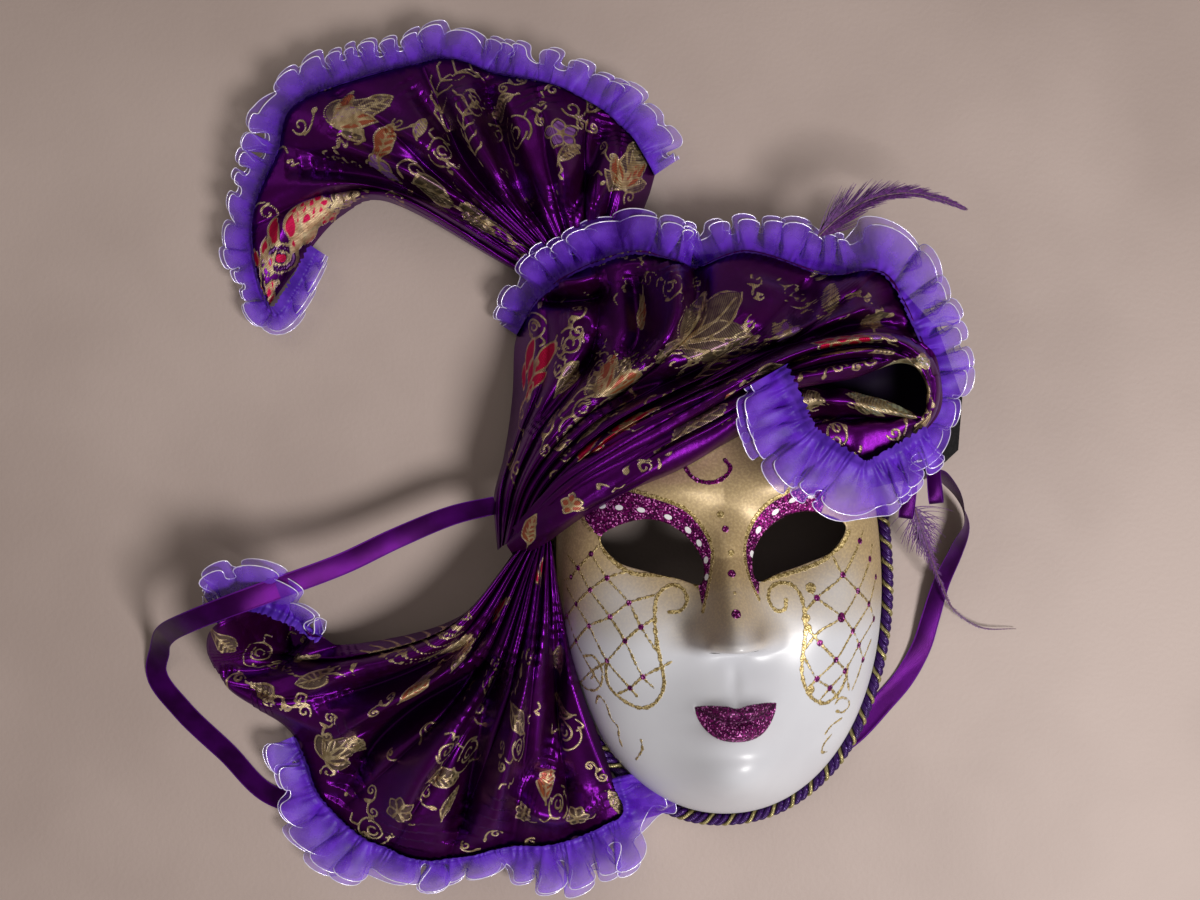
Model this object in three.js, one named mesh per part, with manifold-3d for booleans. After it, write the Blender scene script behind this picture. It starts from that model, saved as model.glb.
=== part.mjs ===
// A masquerade mask that lies on its back: a moulded face with a corded rim, a pleated brocade
// turban, a curling horn and a fan of the same cloth, organza ruffles, two tie ribbons and two
// feathers. Millimetres, +Z up out of the face, +Y towards the crown, +X to the viewer's right.
import * as THREE from "three";
import { mergeVertices } from "three/addons/utils/BufferGeometryUtils.js";
import Module from "manifold-3d";

// Face
const FACE_AT = [58.3, -60]; // middle of the rim at its widest
const FACE_TURN = THREE.MathUtils.degToRad(2.8); // the chin swings a little to the right
const HALF_WIDTH = 80;
const CHIN_LENGTH = 119;
const CROWN_LENGTH = 110;
const CHIN_POWER = 2.1; // roundness of the rim below and above its widest line
const CROWN_POWER = 2.4;
const DOME_HEIGHT = 58;
const DOME_POWER = 2.4;
const SHELL_WALL = 2.2;
const NOSE_TIP = -24; // places along the face's own axis, from the widest line
const NOSE_TOP = 12;
const NOSE_RISE = 32;
const BRIDGE_RISE = 8;
const EYE_OUTLINE = [
  [57, 22], [38, 30], [25, 27], [15, 18], [11, 8], [13, 0], [23, 2.5], [37, 6], [50, 11],
];
// Soft swellings and hollows of the face: place, size and rise, the same on both sides
const SWELLINGS = [
  { at: [25, 44], size: [24, 10], rise: 5 }, // brow
  { at: [34, 15], size: [24, 16], rise: -8 }, // eye socket
  { at: [46, -24], size: [20, 16], rise: 3 }, // cheekbone
  { at: [12, -25], size: [6, 6], rise: 7 }, // wing of the nose
  { at: [0, -58], size: [26, 20], rise: 12 }, // mouth area
  { at: [6, -56.5], size: [9, 4], rise: 5 }, // upper lip
  { at: [0, -66], size: [12, 4.5], rise: 7 }, // lower lip
  { at: [0, -92], size: [24, 20], rise: 20 }, // chin
];

// Cord and ribbons
const CORD_RADIUS = 3.5;
const RIBBON_WIDTH = 10.5;
const RIBBON_THICK = 0.8;
const TIE_LIFT = 1.8; // how far the rim rises where a tie runs under it
const GAP = 0.35; // between touching pieces

// Cloth
const CLOTH_THICK = 2.4;
const RUFFLE_THICK = 1.4;
const TUCK = 3; // how far a ruffle's stitched edge reaches under the hem

// Guide lines of the turban: from the gather at the left temple over the brow to the crown seam
const TURBAN = {
  gather: { from: [-46, -47, 26], to: [-33, -46, 40], swell: [0, 4, 6] },
  rows: [
    [[-45, 5, 14], [-22, 25, 60], [4, 24, 72], [24, 20, 78], [39, 13, 80], [29, -11, 69]],
    [
      [-38, 55, 12], [-26, 74, 36], [-4, 87, 42], [16, 93, 44], [36, 85, 44], [67, 94, 46],
      [108, 80, 50], [128, 84, 54], [146, 59, 56], [133, 38, 70], [84, 22, 72],
    ],
  ],
  folds: [0, 0.1, 0.2, 0.3, 0.4, 0.48, 0.56, 0.64, 0.72, 0.8, 0.88, 1],
  depth: 7,
  foot: 4,
};
// The rolled pocket on the right of the turban: the middle line of its roll
const POCKET_ROLL = [
  [40, 15, 80], [60, 27, 84], [86, 38, 88], [111, 43, 90], [132, 40, 88], [142, 28, 84],
  [138, 14, 79], [123, 4, 75], [104, 5, 73],
];
const POCKET_RADIUS = 10;
// The horn, from its gather above the turban to a long hem that ends in a tip on the left
const HORN = {
  gather: { from: [1, 87, 16], to: [-41, 87, 16], swell: [0, 4, 10] },
  rows: [
    [[17, 111, 19], [-5, 127, 41], [-37, 134, 42], [-72, 134, 42], [-98, 126, 40], [-107, 120, 20]],
    [
      [23, 124, 15], [5, 141, 31], [-20, 153, 36], [-48, 159, 37], [-80, 159, 37], [-115, 146, 36],
      [-130, 126, 30], [-127, 113, 16],
    ],
    [
      [27, 136, 12], [13, 154, 24], [-1, 164, 28], [-25, 175, 28], [-47, 179, 28], [-72, 187, 28],
      [-102, 181, 28], [-147, 164, 28], [-155, 141, 28], [-168, 107, 24], [-164, 68, 12],
    ],
  ],
  folds: [0, 0.12, 0.22, 0.33, 0.44, 0.55, 0.66, 0.78, 0.9, 1],
  depth: 8,
};
// The fan below on the left, whose far end curls up and back over itself
const FAN = {
  gather: { from: [-34, -50, 36], to: [-20, -50, 36], swell: [0, 1, 7] },
  rows: [
    [[-66, -79, 26], [-78, -90, 36], [-68, -103, 34], [-52, -110, 39], [-33, -111, 38], [-13, -98, 24]],
    [[-126, -95, 16], [-165, -105, 20], [-118, -135, 22], [-84, -158, 25], [-42, -163, 26], [3, -147, 14]],
    [
      [-129, -88, 42], [-158, -74, 47], [-182, -86, 40], [-181, -112, 24], [-152, -138, 13],
      [-136, -175, 9], [-110, -195, 9], [-81, -203, 9], [-50, -197, 9], [-15, -193, 9], [13, -180, 8],
    ],
  ],
  folds: [0, 0.14, 0.3, 0.42, 0.52, 0.62, 0.72, 0.82, 0.91, 1],
  depth: 7,
};
// Ruffles: the seam each is stitched along, its width at both ends and the middle, and its drop
const RUFFLES = {
  crown_ruffle: {
    seam: [
      [-41, 56, 20], [-29, 76, 32], [-6, 90, 38], [16, 96, 40], [37, 89, 40], [68, 97, 42],
      [109, 84, 46], [131, 87, 50], [150, 60, 54], [158, 34, 56], [147, 6, 58],
    ],
    width: [14, 22, 22, 22, 18], drop: 14, waves: 15,
  },
  pocket_ruffle: {
    seam: [[80, 26, 86], [90, 4, 84], [112, -12, 80], [142, 3, 74]],
    width: [22, 24, 24, 24, 18], drop: 10, waves: 7, side: -1,
  },
  horn_ruffle: {
    seam: [
      [31, 138, 12], [15, 158, 22], [0, 168, 26], [-25, 179, 26], [-48, 183, 26], [-73, 191, 26],
      [-104, 185, 26], [-151, 167, 26], [-160, 142, 26], [-172, 107, 24], [-168, 63, 18],
      [-151, 71, 16], [-138, 97, 18],
    ],
    width: [18, 22, 20, 22, 7], drop: 10, waves: 19, side: -1,
  },
  fan_ruffle: {
    seam: [
      [-150, -143, 12], [-139, -176, 9], [-112, -199, 8], [-81, -207, 8], [-50, -201, 8],
      [-15, -197, 8], [17, -183, 8], [9, -160, 12],
    ],
    width: [18, 22, 6, 20, 10], drop: 4, waves: 13, side: -1,
  },
  curl_ruffle: {
    seam: [[-130, -85, 37], [-145, -75, 40], [-162, -69, 43], [-178, -74, 40]],
    width: [5, 12, 24, 26, 14], drop: 0, waves: 5, side: -1, tuck: -1.5,
  },
};

// Ties: the left one crosses the fan's curl, the right one slips under the chin
const LEFT_TIE = [
  [-49, -26, 32], [-70, -31, 30], [-97, -42, 30], [-120, -53, 36], [-144, -62, 46], [-166, -70, 54],
  [-189, -79, 51], [-205, -87, 34], [-217, -99, 8], [-221, -112, 0.5], [-208, -130, 0.5],
  [-186, -151, 0.5], [-164, -172, 0.5], [-130, -178, 0.5], [-80, -172, 0.5], [-22, -155, 0.5],
];
const RIGHT_TIE = [
  [148, -14, 40], [162, -12, 26], [176, -24, 10], [181, -37, 2], [177, -50, 0.5], [170, -66, 0.5],
  [165, -84, 0.5], [160, -98, 0.5], [152, -113, 0.5], [142, -125, 0.5], [122, -145, 0.5],
  [98, -154, 0.5], [64, -160, 0.5], [44, -170, 0.5], [24, -178, 0.5], [-30, -186, 0.5],
  [-90, -187, 0.5],
];
const TIE_STEPS = 60;
const LOWEST = 0.5; // middle of a ribbon that lies on the table
// Places round the rim, in degrees from the right side, where a tie passes below
const TIE_CROSSINGS = [-57, -103];
const TIE_CROSSING_SPREAD = 11;

const RIBBON_LOOPS = [
  { at: [146, -22, 47], turn: 0.5 },
  { at: [157, -17, 42], turn: -0.2 },
];
const LOOP_RADIUS = 7;
const FELT_OUTLINE = [
  [165, -12], [178, 0], [180, 26], [168, 60], [146, 84], [110, 94], [60, 98], [10, 93],
  [-25, 72], [-40, 40], [-46, 0], [-44, -36], [20, -20], [130, -20],
];
const FELT_THICK = 3;
const TOP_FEATHER = [[112, 108, 48], [124, 115, 50], [140, 118, 50], [155, 116, 48], [170, 111, 46]];
const SIDE_FEATHER = [[158, -30, 34], [166, -46, 24], [171, -62, 14], [186, -84, 5], [207, -90, 2]];
const FEATHER_WIDTH = 7;
const FEATHER_THICK = 1;

const CLOTH = new THREE.MeshStandardMaterial({ color: 0x4a2470, roughness: 0.5 });
const ORGANZA = new THREE.MeshStandardMaterial({ color: 0x5b4fa0, roughness: 0.5 });
const IVORY = new THREE.MeshStandardMaterial({ color: 0xeee6e2, roughness: 0.35 });
const RIBBON = new THREE.MeshStandardMaterial({ color: 0x5a2a8a, roughness: 0.4 });
const FELT = new THREE.MeshStandardMaterial({ color: 0x121014, roughness: 0.95 });
const FEATHER = new THREE.MeshStandardMaterial({ color: 0x2f1c4a, roughness: 0.8 });

const wasm = await Module();
wasm.setup();

const vector = (p) => new THREE.Vector3(p[0], p[1], p[2]);
const curve = (points) => new THREE.CatmullRomCurve3(points.map(vector), false, "centripetal");
const smooth = (x, from, to) => THREE.MathUtils.smoothstep(x, from, to);
const bell = (x) => Math.exp(-x * x);

// A manifold solid from points and triangles, or from a closed three.js geometry.
function solidOf(points, triangles) {
  const vertProperties = new Float32Array(points.flatMap((p) => [p.x, p.y, p.z]));
  return new wasm.Manifold(
    new wasm.Mesh({ numProp: 3, vertProperties, triVerts: new Uint32Array(triangles) }),
  );
}

function solidOfGeometry(geometry) {
  geometry.deleteAttribute("normal");
  geometry.deleteAttribute("uv");
  const merged = mergeVertices(geometry, 1e-3);
  const vertProperties = merged.attributes.position.array;
  const triVerts = new Uint32Array(merged.index.array);
  return new wasm.Manifold(new wasm.Mesh({ numProp: 3, vertProperties, triVerts }));
}

const group = new THREE.Group();

function addPiece(name, solid, material) {
  const made = solid.getMesh();
  const geometry = new THREE.BufferGeometry();
  geometry.setAttribute("position", new THREE.BufferAttribute(made.vertProperties, 3));
  geometry.setIndex(new THREE.BufferAttribute(made.triVerts, 1));
  const mesh = new THREE.Mesh(geometry, material);
  mesh.name = name;
  group.add(mesh);
  return mesh;
}

// Cuts the neighbours out of a piece and keeps its largest body.
function clearOf(solid, neighbours) {
  const cut = neighbours.reduce((left, neighbour) => left.subtract(neighbour), solid);
  return cut.decompose().sort((a, b) => b.volume() - a.volume())[0];
}

// A closed sheet of even thickness round a surface(u, v). A grown one is fatter on both sides
// and reaches past its borders, to keep its neighbours clear.
function sheet(surface, across, along, thick, grow = 0, vEnd = 1) {
  const points = [];
  for (let j = 0; j <= along; j++)
    for (let i = 0; i <= across; i++) points.push(surface(i / across, (vEnd * j) / along));
  const index = (i, j) => j * (across + 1) + i;
  const push = (k, from) => {
    const outwards = points[k].clone().sub(points[from]).setLength(grow);
    points[k].add(outwards);
  };
  for (let i = 0; i <= across; i++) {
    push(index(i, 0), index(i, 1));
    push(index(i, along), index(i, along - 1));
  }
  for (let j = 0; j <= along; j++) {
    push(index(0, j), index(1, j));
    push(index(across, j), index(across - 1, j));
  }
  const reach = thick / 2 + grow;
  const normals = [];
  for (let j = 0; j <= along; j++)
    for (let i = 0; i <= across; i++) {
      const right = points[index(Math.min(i + 1, across), j)].clone();
      right.sub(points[index(Math.max(i - 1, 0), j)]);
      const on = points[index(i, Math.min(j + 1, along))].clone();
      on.sub(points[index(i, Math.max(j - 1, 0))]);
      normals.push(right.cross(on).normalize());
    }
  const count = points.length;
  const front = points.map((p, k) => p.clone().addScaledVector(normals[k], reach));
  const back = points.map((p, k) => p.clone().addScaledVector(normals[k], -reach));
  const triangles = [];
  const quad = (a, b, c, d) => triangles.push(a, b, c, a, c, d);
  for (let j = 0; j < along; j++)
    for (let i = 0; i < across; i++) {
      const [a, b] = [index(i, j), index(i + 1, j)];
      const [c, d] = [index(i + 1, j + 1), index(i, j + 1)];
      quad(a, b, c, d);
      quad(count + a, count + d, count + c, count + b);
    }
  for (let i = 0; i < across; i++) {
    quad(count + index(i, 0), count + index(i + 1, 0), index(i + 1, 0), index(i, 0));
    quad(index(i, along), index(i + 1, along), count + index(i + 1, along), count + index(i, along));
  }
  for (let j = 0; j < along; j++) {
    quad(index(0, j), index(0, j + 1), count + index(0, j + 1), count + index(0, j));
    quad(count + index(across, j), count + index(across, j + 1), index(across, j + 1), index(across, j));
  }
  return solidOf([...front, ...back], triangles);
}

// A round tube along a curve, tapered by size(t), with flat ends.
function tube(path, steps, sides, size) {
  const points = [];
  for (let i = 0; i <= steps; i++) {
    const along = path.getTangentAt(i / steps);
    const side = new THREE.Vector3(-along.y, along.x, 0).normalize();
    const up = along.clone().cross(side);
    for (let k = 0; k < sides; k++) {
      const angle = (2 * Math.PI * k) / sides;
      const p = path.getPointAt(i / steps).clone();
      p.addScaledVector(side, size(i / steps) * Math.cos(angle));
      points.push(p.addScaledVector(up, size(i / steps) * Math.sin(angle)));
    }
  }
  const triangles = [];
  for (let i = 0; i < steps; i++)
    for (let k = 0; k < sides; k++) {
      const [a, b] = [i * sides + k, i * sides + ((k + 1) % sides)];
      triangles.push(a, b + sides, b, a, a + sides, b + sides);
    }
  const last = steps * sides;
  for (let k = 1; k < sides - 1; k++) {
    triangles.push(0, k, k + 1);
    triangles.push(last, last + k + 1, last + k);
  }
  const made = solidOf(points, triangles);
  return made.volume() > 0 ? made : solidOf(points, triangles.reverse());
}

// The face's own axes, u across and v up from the widest line, and back to the part's frame
const [FACE_COS, FACE_SIN] = [Math.cos(FACE_TURN), Math.sin(FACE_TURN)];
const fromFace = (u, v, z) =>
  new THREE.Vector3(
    FACE_AT[0] + u * FACE_COS - v * FACE_SIN,
    FACE_AT[1] + u * FACE_SIN + v * FACE_COS,
    z,
  );

// Distance from the middle of the rim, 1 on the rim itself.
function rimShare(u, v) {
  const power = v < 0 ? CHIN_POWER : CROWN_POWER;
  const length = v < 0 ? CHIN_LENGTH : CROWN_LENGTH;
  return (Math.abs(u / HALF_WIDTH) ** power + Math.abs(v / length) ** power) ** (1 / power);
}

function faceHeight(u, v) {
  const share = Math.min(rimShare(u, v), 1);
  const dome = DOME_HEIGHT * (1 - share ** DOME_POWER) ** (1 / DOME_POWER);
  const down = THREE.MathUtils.clamp((NOSE_TOP - v) / (NOSE_TOP - NOSE_TIP), 0, 1);
  const under = smooth(v, NOSE_TIP - 9, NOSE_TIP - 2);
  const top = 1 - smooth(v, NOSE_TOP, NOSE_TOP + 24);
  const noseWidth = 9 + 4 * down;
  let rise = (BRIDGE_RISE + (NOSE_RISE - BRIDGE_RISE) * down) * under * top * bell(u / noseWidth);
  for (const { at, size, rise: height } of SWELLINGS)
    rise += height * bell((Math.abs(u) - at[0]) / size[0]) * bell((v - at[1]) / size[1]);
  return dome + rise * (1 - share ** 6);
}

// Rim point at an angle round the face, moved outwards by a margin.
function rimPoint(angle, margin = 0) {
  const [c, s] = [Math.cos(angle), Math.sin(angle)];
  const reach = 1 / rimShare(c, s) + margin;
  return [reach * c, reach * s];
}

function rimLift(angle) {
  const degrees = THREE.MathUtils.radToDeg(angle);
  const near = TIE_CROSSINGS.map((at) => bell((degrees - at) / TIE_CROSSING_SPREAD));
  return TIE_LIFT * Math.min(1, Math.max(...near));
}

const RINGS = 12;
const SECTORS = 44;
const FACE_MIDDLE = [0, -20]; // the rings close in on the nose, where the form is finest

// Points of the face in rings round the nose, moved out along the surface by a margin.
function facePoints(margin, lifted) {
  const points = [];
  for (let j = 1; j <= RINGS; j++)
    for (let i = 0; i < SECTORS; i++) {
      const angle = -Math.PI + (2 * Math.PI * i) / SECTORS;
      const [ru, rv] = rimPoint(angle);
      const share = Math.sin((Math.PI / 2) * (j / RINGS)) ** 1.5;
      const u = FACE_MIDDLE[0] + (ru - FACE_MIDDLE[0]) * share;
      const v = FACE_MIDDLE[1] + (rv - FACE_MIDDLE[1]) * share;
      if (j === RINGS) {
        const [mu, mv] = rimPoint(angle, margin);
        points.push(fromFace(mu, mv, lifted ? rimLift(angle) : 0));
      } else points.push(offsetFace(u, v, margin));
    }
  points.push(offsetFace(...FACE_MIDDLE, margin));
  return points;
}

function offsetFace(u, v, margin) {
  const step = 0.5;
  const du = (faceHeight(u + step, v) - faceHeight(u - step, v)) / (2 * step);
  const dv = (faceHeight(u, v + step) - faceHeight(u, v - step)) / (2 * step);
  const reach = margin / Math.hypot(du, dv, 1);
  return fromFace(u - du * reach, v - dv * reach, faceHeight(u, v) + reach);
}

function ringTriangles(start, flip) {
  const triangles = [];
  const push = (a, b, c) => triangles.push(...(flip ? [a, c, b] : [a, b, c]));
  const middle = start + RINGS * SECTORS;
  for (let i = 0; i < SECTORS; i++) {
    const next = (i + 1) % SECTORS;
    push(middle, start + i, start + next);
    for (let j = 0; j < RINGS - 1; j++) {
      const [a, b] = [start + j * SECTORS + i, start + j * SECTORS + next];
      push(a, a + SECTORS, b + SECTORS);
      push(a, b + SECTORS, b);
    }
  }
  return triangles;
}

// The filled space under the face, with a margin, for cutting the pieces that lie over it.
function faceBulk(margin) {
  const points = facePoints(margin, false);
  const triangles = ringTriangles(0, false);
  const rim = (RINGS - 1) * SECTORS;
  const below = points.length;
  for (let i = 0; i < SECTORS; i++) points.push(points[rim + i].clone().setZ(-2));
  const middle = points.length;
  points.push(fromFace(0, 0, -2));
  for (let i = 0; i < SECTORS; i++) {
    const next = (i + 1) % SECTORS;
    triangles.push(rim + i, below + i, below + next, rim + i, below + next, rim + next);
    triangles.push(middle, below + next, below + i);
  }
  return solidOf(points, triangles);
}

function eyeCutter(side) {
  const outline = EYE_OUTLINE.map(([u, v]) => new THREE.Vector2(side * u, v));
  const shape = new THREE.Shape(new THREE.SplineCurve([...outline, outline[0]]).getPoints(22).slice(1));
  const geometry = new THREE.ExtrudeGeometry(shape, { depth: 90, bevelEnabled: false, steps: 1 });
  geometry.rotateZ(FACE_TURN);
  geometry.translate(FACE_AT[0], FACE_AT[1], 5);
  return solidOfGeometry(geometry);
}

function faceShell() {
  const outer = facePoints(0, true);
  const inner = facePoints(-SHELL_WALL, true);
  const count = outer.length;
  const triangles = [...ringTriangles(0, false), ...ringTriangles(count, true)];
  const rim = (RINGS - 1) * SECTORS;
  for (let i = 0; i < SECTORS; i++) {
    const [a, b] = [rim + i, rim + ((i + 1) % SECTORS)];
    triangles.push(a, count + a, count + b, a, count + b, b);
  }
  return solidOf([...outer, ...inner], triangles).subtract(eyeCutter(1)).subtract(eyeCutter(-1));
}

// The cord lies against the outside of the rim, from temple to temple round the chin.
function rimCord(radius) {
  const [from, to] = [-200, 18].map(THREE.MathUtils.degToRad);
  const points = [];
  for (let k = 0; k <= 40; k++) {
    const angle = from + ((to - from) * k) / 40;
    const wrapped = Math.atan2(Math.sin(angle), Math.cos(angle));
    const [u, v] = rimPoint(angle, CORD_RADIUS + GAP + 0.2);
    points.push(fromFace(u, v, CORD_RADIUS + rimLift(wrapped)));
  }
  return tube(new THREE.CatmullRomCurve3(points), 50, 8, () => radius);
}

// Cloth drawn from a gather through rows of guide points, with rounded folds between valleys.
function clothSurface({ gather, rows, folds, depth, foot }) {
  const lines = rows.map(curve);
  const valley = (u) => {
    const k = Math.max(1, folds.findIndex((edge) => edge >= u));
    return Math.sin((Math.PI * (u - folds[k - 1])) / (folds[k] - folds[k - 1])) ** 0.7;
  };
  return (u, v) => {
    const start = vector(gather.from).lerp(vector(gather.to), u);
    start.addScaledVector(vector(gather.swell), Math.sin(Math.PI * u));
    const line = new THREE.CatmullRomCurve3([start, ...lines.map((l) => l.getPoint(u))]);
    const p = line.getPoint(Math.min(v, 1));
    p.z += depth * (valley(u) - 0.5) * Math.sin(Math.PI * Math.min(0.15 + 0.75 * v, 0.9));
    if (v > 1) p.z = THREE.MathUtils.lerp(p.z, foot, (v - 1) / 0.25);
    return p;
  };
}

// A gathered strip that waves up and down more and more towards its free edge.
function ruffleSurface({ seam, width, drop, waves, side = 1, tuck = TUCK }) {
  const line = curve(seam);
  const widthCurve = new THREE.CatmullRomCurve3(width.map((w) => new THREE.Vector3(w, 0, 0)));
  return (u, v) => {
    const p = line.getPoint(u);
    const along = line.getTangent(u);
    const out = new THREE.Vector3(-along.y, along.x, 0).normalize().multiplyScalar(side);
    p.addScaledVector(out, v * widthCurve.getPoint(u).x - tuck * (1 - v));
    p.z += -drop * v + 3 * v * Math.sin(2 * Math.PI * waves * u);
    return p;
  };
}

// A flat strip along a path, its width held level.
function stripSurface(points, widthAt) {
  const line = curve(points);
  return (u, v) => {
    const along = line.getTangentAt(u);
    const side = new THREE.Vector3(along.y, -along.x, 0).normalize();
    const p = line.getPointAt(u).addScaledVector(side, (v - 0.5) * widthAt(u));
    return p.setZ(Math.max(p.z, LOWEST));
  };
}

const ribbon = (points, grow) =>
  sheet(stripSurface(points, () => RIBBON_WIDTH), TIE_STEPS, 1, RIBBON_THICK, grow);
const feather = (points) =>
  sheet(stripSurface(points, (u) => FEATHER_WIDTH * (1.15 - u)), 14, 2, FEATHER_THICK);

const bulk = faceBulk(GAP);
const fatCord = rimCord(CORD_RADIUS + GAP);
const ties = { left_tie: LEFT_TIE, right_tie: RIGHT_TIE };
const fatTies = Object.values(ties).map((points) => ribbon(points, GAP));

addPiece("face_shell", clearOf(faceShell(), fatTies), IVORY);
addPiece("rim_cord", clearOf(rimCord(CORD_RADIUS), fatTies), CLOTH);

function feltBacking(grow) {
  const shape = new THREE.Shape(FELT_OUTLINE.map(([x, y]) => new THREE.Vector2(x, y)));
  const geometry = new THREE.ExtrudeGeometry(shape, { depth: FELT_THICK + grow, bevelEnabled: false });
  return solidOfGeometry(geometry);
}
addPiece("felt_backing", clearOf(feltBacking(0), [bulk, fatCord]), FELT);

const foldCount = (cloth) => cloth.folds.length - 1;
function clothPiece(cloth, grow, vEnd = 1) {
  const steps = foldCount(cloth) * 3;
  return sheet(clothSurface(cloth), steps, vEnd > 1 ? 8 : 6, CLOTH_THICK, grow, vEnd);
}
function turbanCloth(grow) {
  const path = curve(POCKET_ROLL);
  const size = (t) => grow + POCKET_RADIUS * (0.55 + 0.45 * Math.sin(Math.PI * t));
  return clothPiece(TURBAN, grow, 1.25).add(tube(path, 20, 8, size));
}
const fatFelt = feltBacking(GAP);
const fatTurban = turbanCloth(GAP);
const fatHorn = clothPiece(HORN, GAP).add(clothPiece(HORN, 0));
const fatFan = clothPiece(FAN, GAP).add(clothPiece(FAN, 0));
addPiece("turban_cloth", clearOf(turbanCloth(0), [bulk, fatCord, fatFelt, ...fatTies]), CLOTH);
addPiece("horn_cloth", clearOf(clothPiece(HORN, 0), [fatTurban, fatFelt]), CLOTH);
const fanNeighbours = [bulk, fatCord, fatTurban, ...fatTies];
addPiece("fan_cloth", clearOf(clothPiece(FAN, 0), fanNeighbours), CLOTH);

let placed = [bulk, fatCord, fatFelt, fatTurban, fatHorn, fatFan, ...fatTies];
for (const [name, ruffle] of Object.entries(RUFFLES)) {
  const steps = ruffle.waves * 4;
  const strip = (grow) => sheet(ruffleSurface(ruffle), steps, 1, RUFFLE_THICK, grow);
  addPiece(name, clearOf(strip(0), placed), ORGANZA);
  placed = [...placed, strip(GAP)];
}

RIBBON_LOOPS.forEach(({ at, turn }, k) => {
  const ring = new THREE.TorusGeometry(LOOP_RADIUS, 1.6, 6, 14);
  ring.scale(0.7, 1.3, 1.6).rotateZ(turn).translate(...at);
  const solid = solidOfGeometry(ring);
  addPiece("ribbon_loop_" + (k + 1), clearOf(solid, placed), RIBBON);
  placed = [...placed, solid];
});
for (const [name, points] of Object.entries(ties))
  addPiece(name, ribbon(points, 0), RIBBON);
addPiece("top_feather", clearOf(feather(TOP_FEATHER), placed), FEATHER);
addPiece("side_feather", clearOf(feather(SIDE_FEATHER), placed), FEATHER);

// The origin is below the middle of the mask, the loose ties left out
const extent = new THREE.Box3();
for (const mesh of group.children) if (!(mesh.name in ties)) extent.expandByObject(mesh, true);
const middle = extent.getCenter(new THREE.Vector3());
for (const mesh of group.children) mesh.position.set(-middle.x, -middle.y, -extent.min.z);

export default group;
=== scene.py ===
# %% [markdown]
# A masquerade mask, seen from straight above as it lies on its back. It is a moulded face with a
# cord round its rim, dressed with pleated brocade, gathered organza, ribbons and feathers.
# The packed solids give every piece its place and size. Each cell below dresses one piece.

# %% Load the frame
import math

import bpy
import numpy as np
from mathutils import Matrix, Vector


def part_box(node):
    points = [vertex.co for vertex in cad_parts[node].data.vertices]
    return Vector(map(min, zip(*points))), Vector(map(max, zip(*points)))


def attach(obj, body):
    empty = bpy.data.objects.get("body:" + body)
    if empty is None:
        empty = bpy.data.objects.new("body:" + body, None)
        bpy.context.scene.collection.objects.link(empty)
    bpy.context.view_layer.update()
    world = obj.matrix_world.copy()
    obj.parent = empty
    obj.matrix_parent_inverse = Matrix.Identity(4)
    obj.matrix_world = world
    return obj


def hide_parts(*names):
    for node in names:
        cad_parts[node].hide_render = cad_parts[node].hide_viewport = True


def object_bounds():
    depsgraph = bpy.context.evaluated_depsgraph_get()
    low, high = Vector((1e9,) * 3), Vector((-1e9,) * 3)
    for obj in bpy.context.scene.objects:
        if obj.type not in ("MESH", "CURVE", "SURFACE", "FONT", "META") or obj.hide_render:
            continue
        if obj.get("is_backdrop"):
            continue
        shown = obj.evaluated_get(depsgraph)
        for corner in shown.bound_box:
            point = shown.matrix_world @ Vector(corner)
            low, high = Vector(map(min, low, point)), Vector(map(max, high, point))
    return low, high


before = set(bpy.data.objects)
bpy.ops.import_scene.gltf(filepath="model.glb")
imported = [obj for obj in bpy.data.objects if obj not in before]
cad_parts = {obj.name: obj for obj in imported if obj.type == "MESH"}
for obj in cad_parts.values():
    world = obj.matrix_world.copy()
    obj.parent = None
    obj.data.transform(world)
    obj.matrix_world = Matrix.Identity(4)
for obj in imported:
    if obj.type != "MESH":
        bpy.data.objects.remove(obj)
CAD_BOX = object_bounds()
print("the solids span", [round(b - a, 3) for a, b in zip(*CAD_BOX)], "m")

# %% [markdown]
# The pieces are worked out in millimetres, in the same layout as the solids: x to the right, y
# towards the crown, z out of the face. The face is described by a few lengths: its rim is half an
# ellipse below its widest line and a squarer arch above it. The solid face gives the offset
# between this layout and the frame.

# %% The face's driving sizes
FACE_AT = (58.3, -60.0)
FACE_TURN = math.radians(2.8)
HALF_WIDTH = 80.0
CHIN_LENGTH = 119.0
CROWN_LENGTH = 110.0
CHIN_POWER = 2.1
CROWN_POWER = 2.4
DOME_HEIGHT = 58.0
DOME_POWER = 2.4
SHELL_WALL = 2.2
RIM_CORNERS = 44  # of the solid
TIE_LIFT = 1.8  # of the rim, where a tie passes below it
TIE_CROSSINGS = (-57, -103)  # degrees round the face
TIE_CROSSING_SPREAD = 11


def rim_share(u, v):
    """Distance from the middle of the rim, 1 on the rim itself."""
    power = np.where(v < 0, CHIN_POWER, CROWN_POWER)
    length = np.where(v < 0, CHIN_LENGTH, CROWN_LENGTH)
    return (np.abs(u / HALF_WIDTH) ** power + np.abs(v / length) ** power) ** (1 / power)


def rim_point(angle, margin=0.0):
    """The rim's point at an angle round the face, moved outwards by a margin."""
    c, s = np.cos(angle), np.sin(angle)
    reach = 1 / rim_share(c, s) + margin
    return reach * c, reach * s


def rim_lift(angle):
    """How far the rim rises over a tie that passes below."""
    degrees = np.degrees(angle)
    near = [np.exp(-(((degrees - at) / TIE_CROSSING_SPREAD) ** 2)) for at in TIE_CROSSINGS]
    return TIE_LIFT * np.minimum(1, np.maximum(*near))


def from_face(u, v, z):
    """A point of the face's own axes, in the layout."""
    c, s = math.cos(FACE_TURN), math.sin(FACE_TURN)
    return np.stack([FACE_AT[0] + u * c - v * s, FACE_AT[1] + u * s + v * c, z + 0 * u], -1)


def to_face(x, y):
    c, s = math.cos(FACE_TURN), math.sin(FACE_TURN)
    dx, dy = x - FACE_AT[0], y - FACE_AT[1]
    return dx * c + dy * s, dy * c - dx * s


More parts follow.
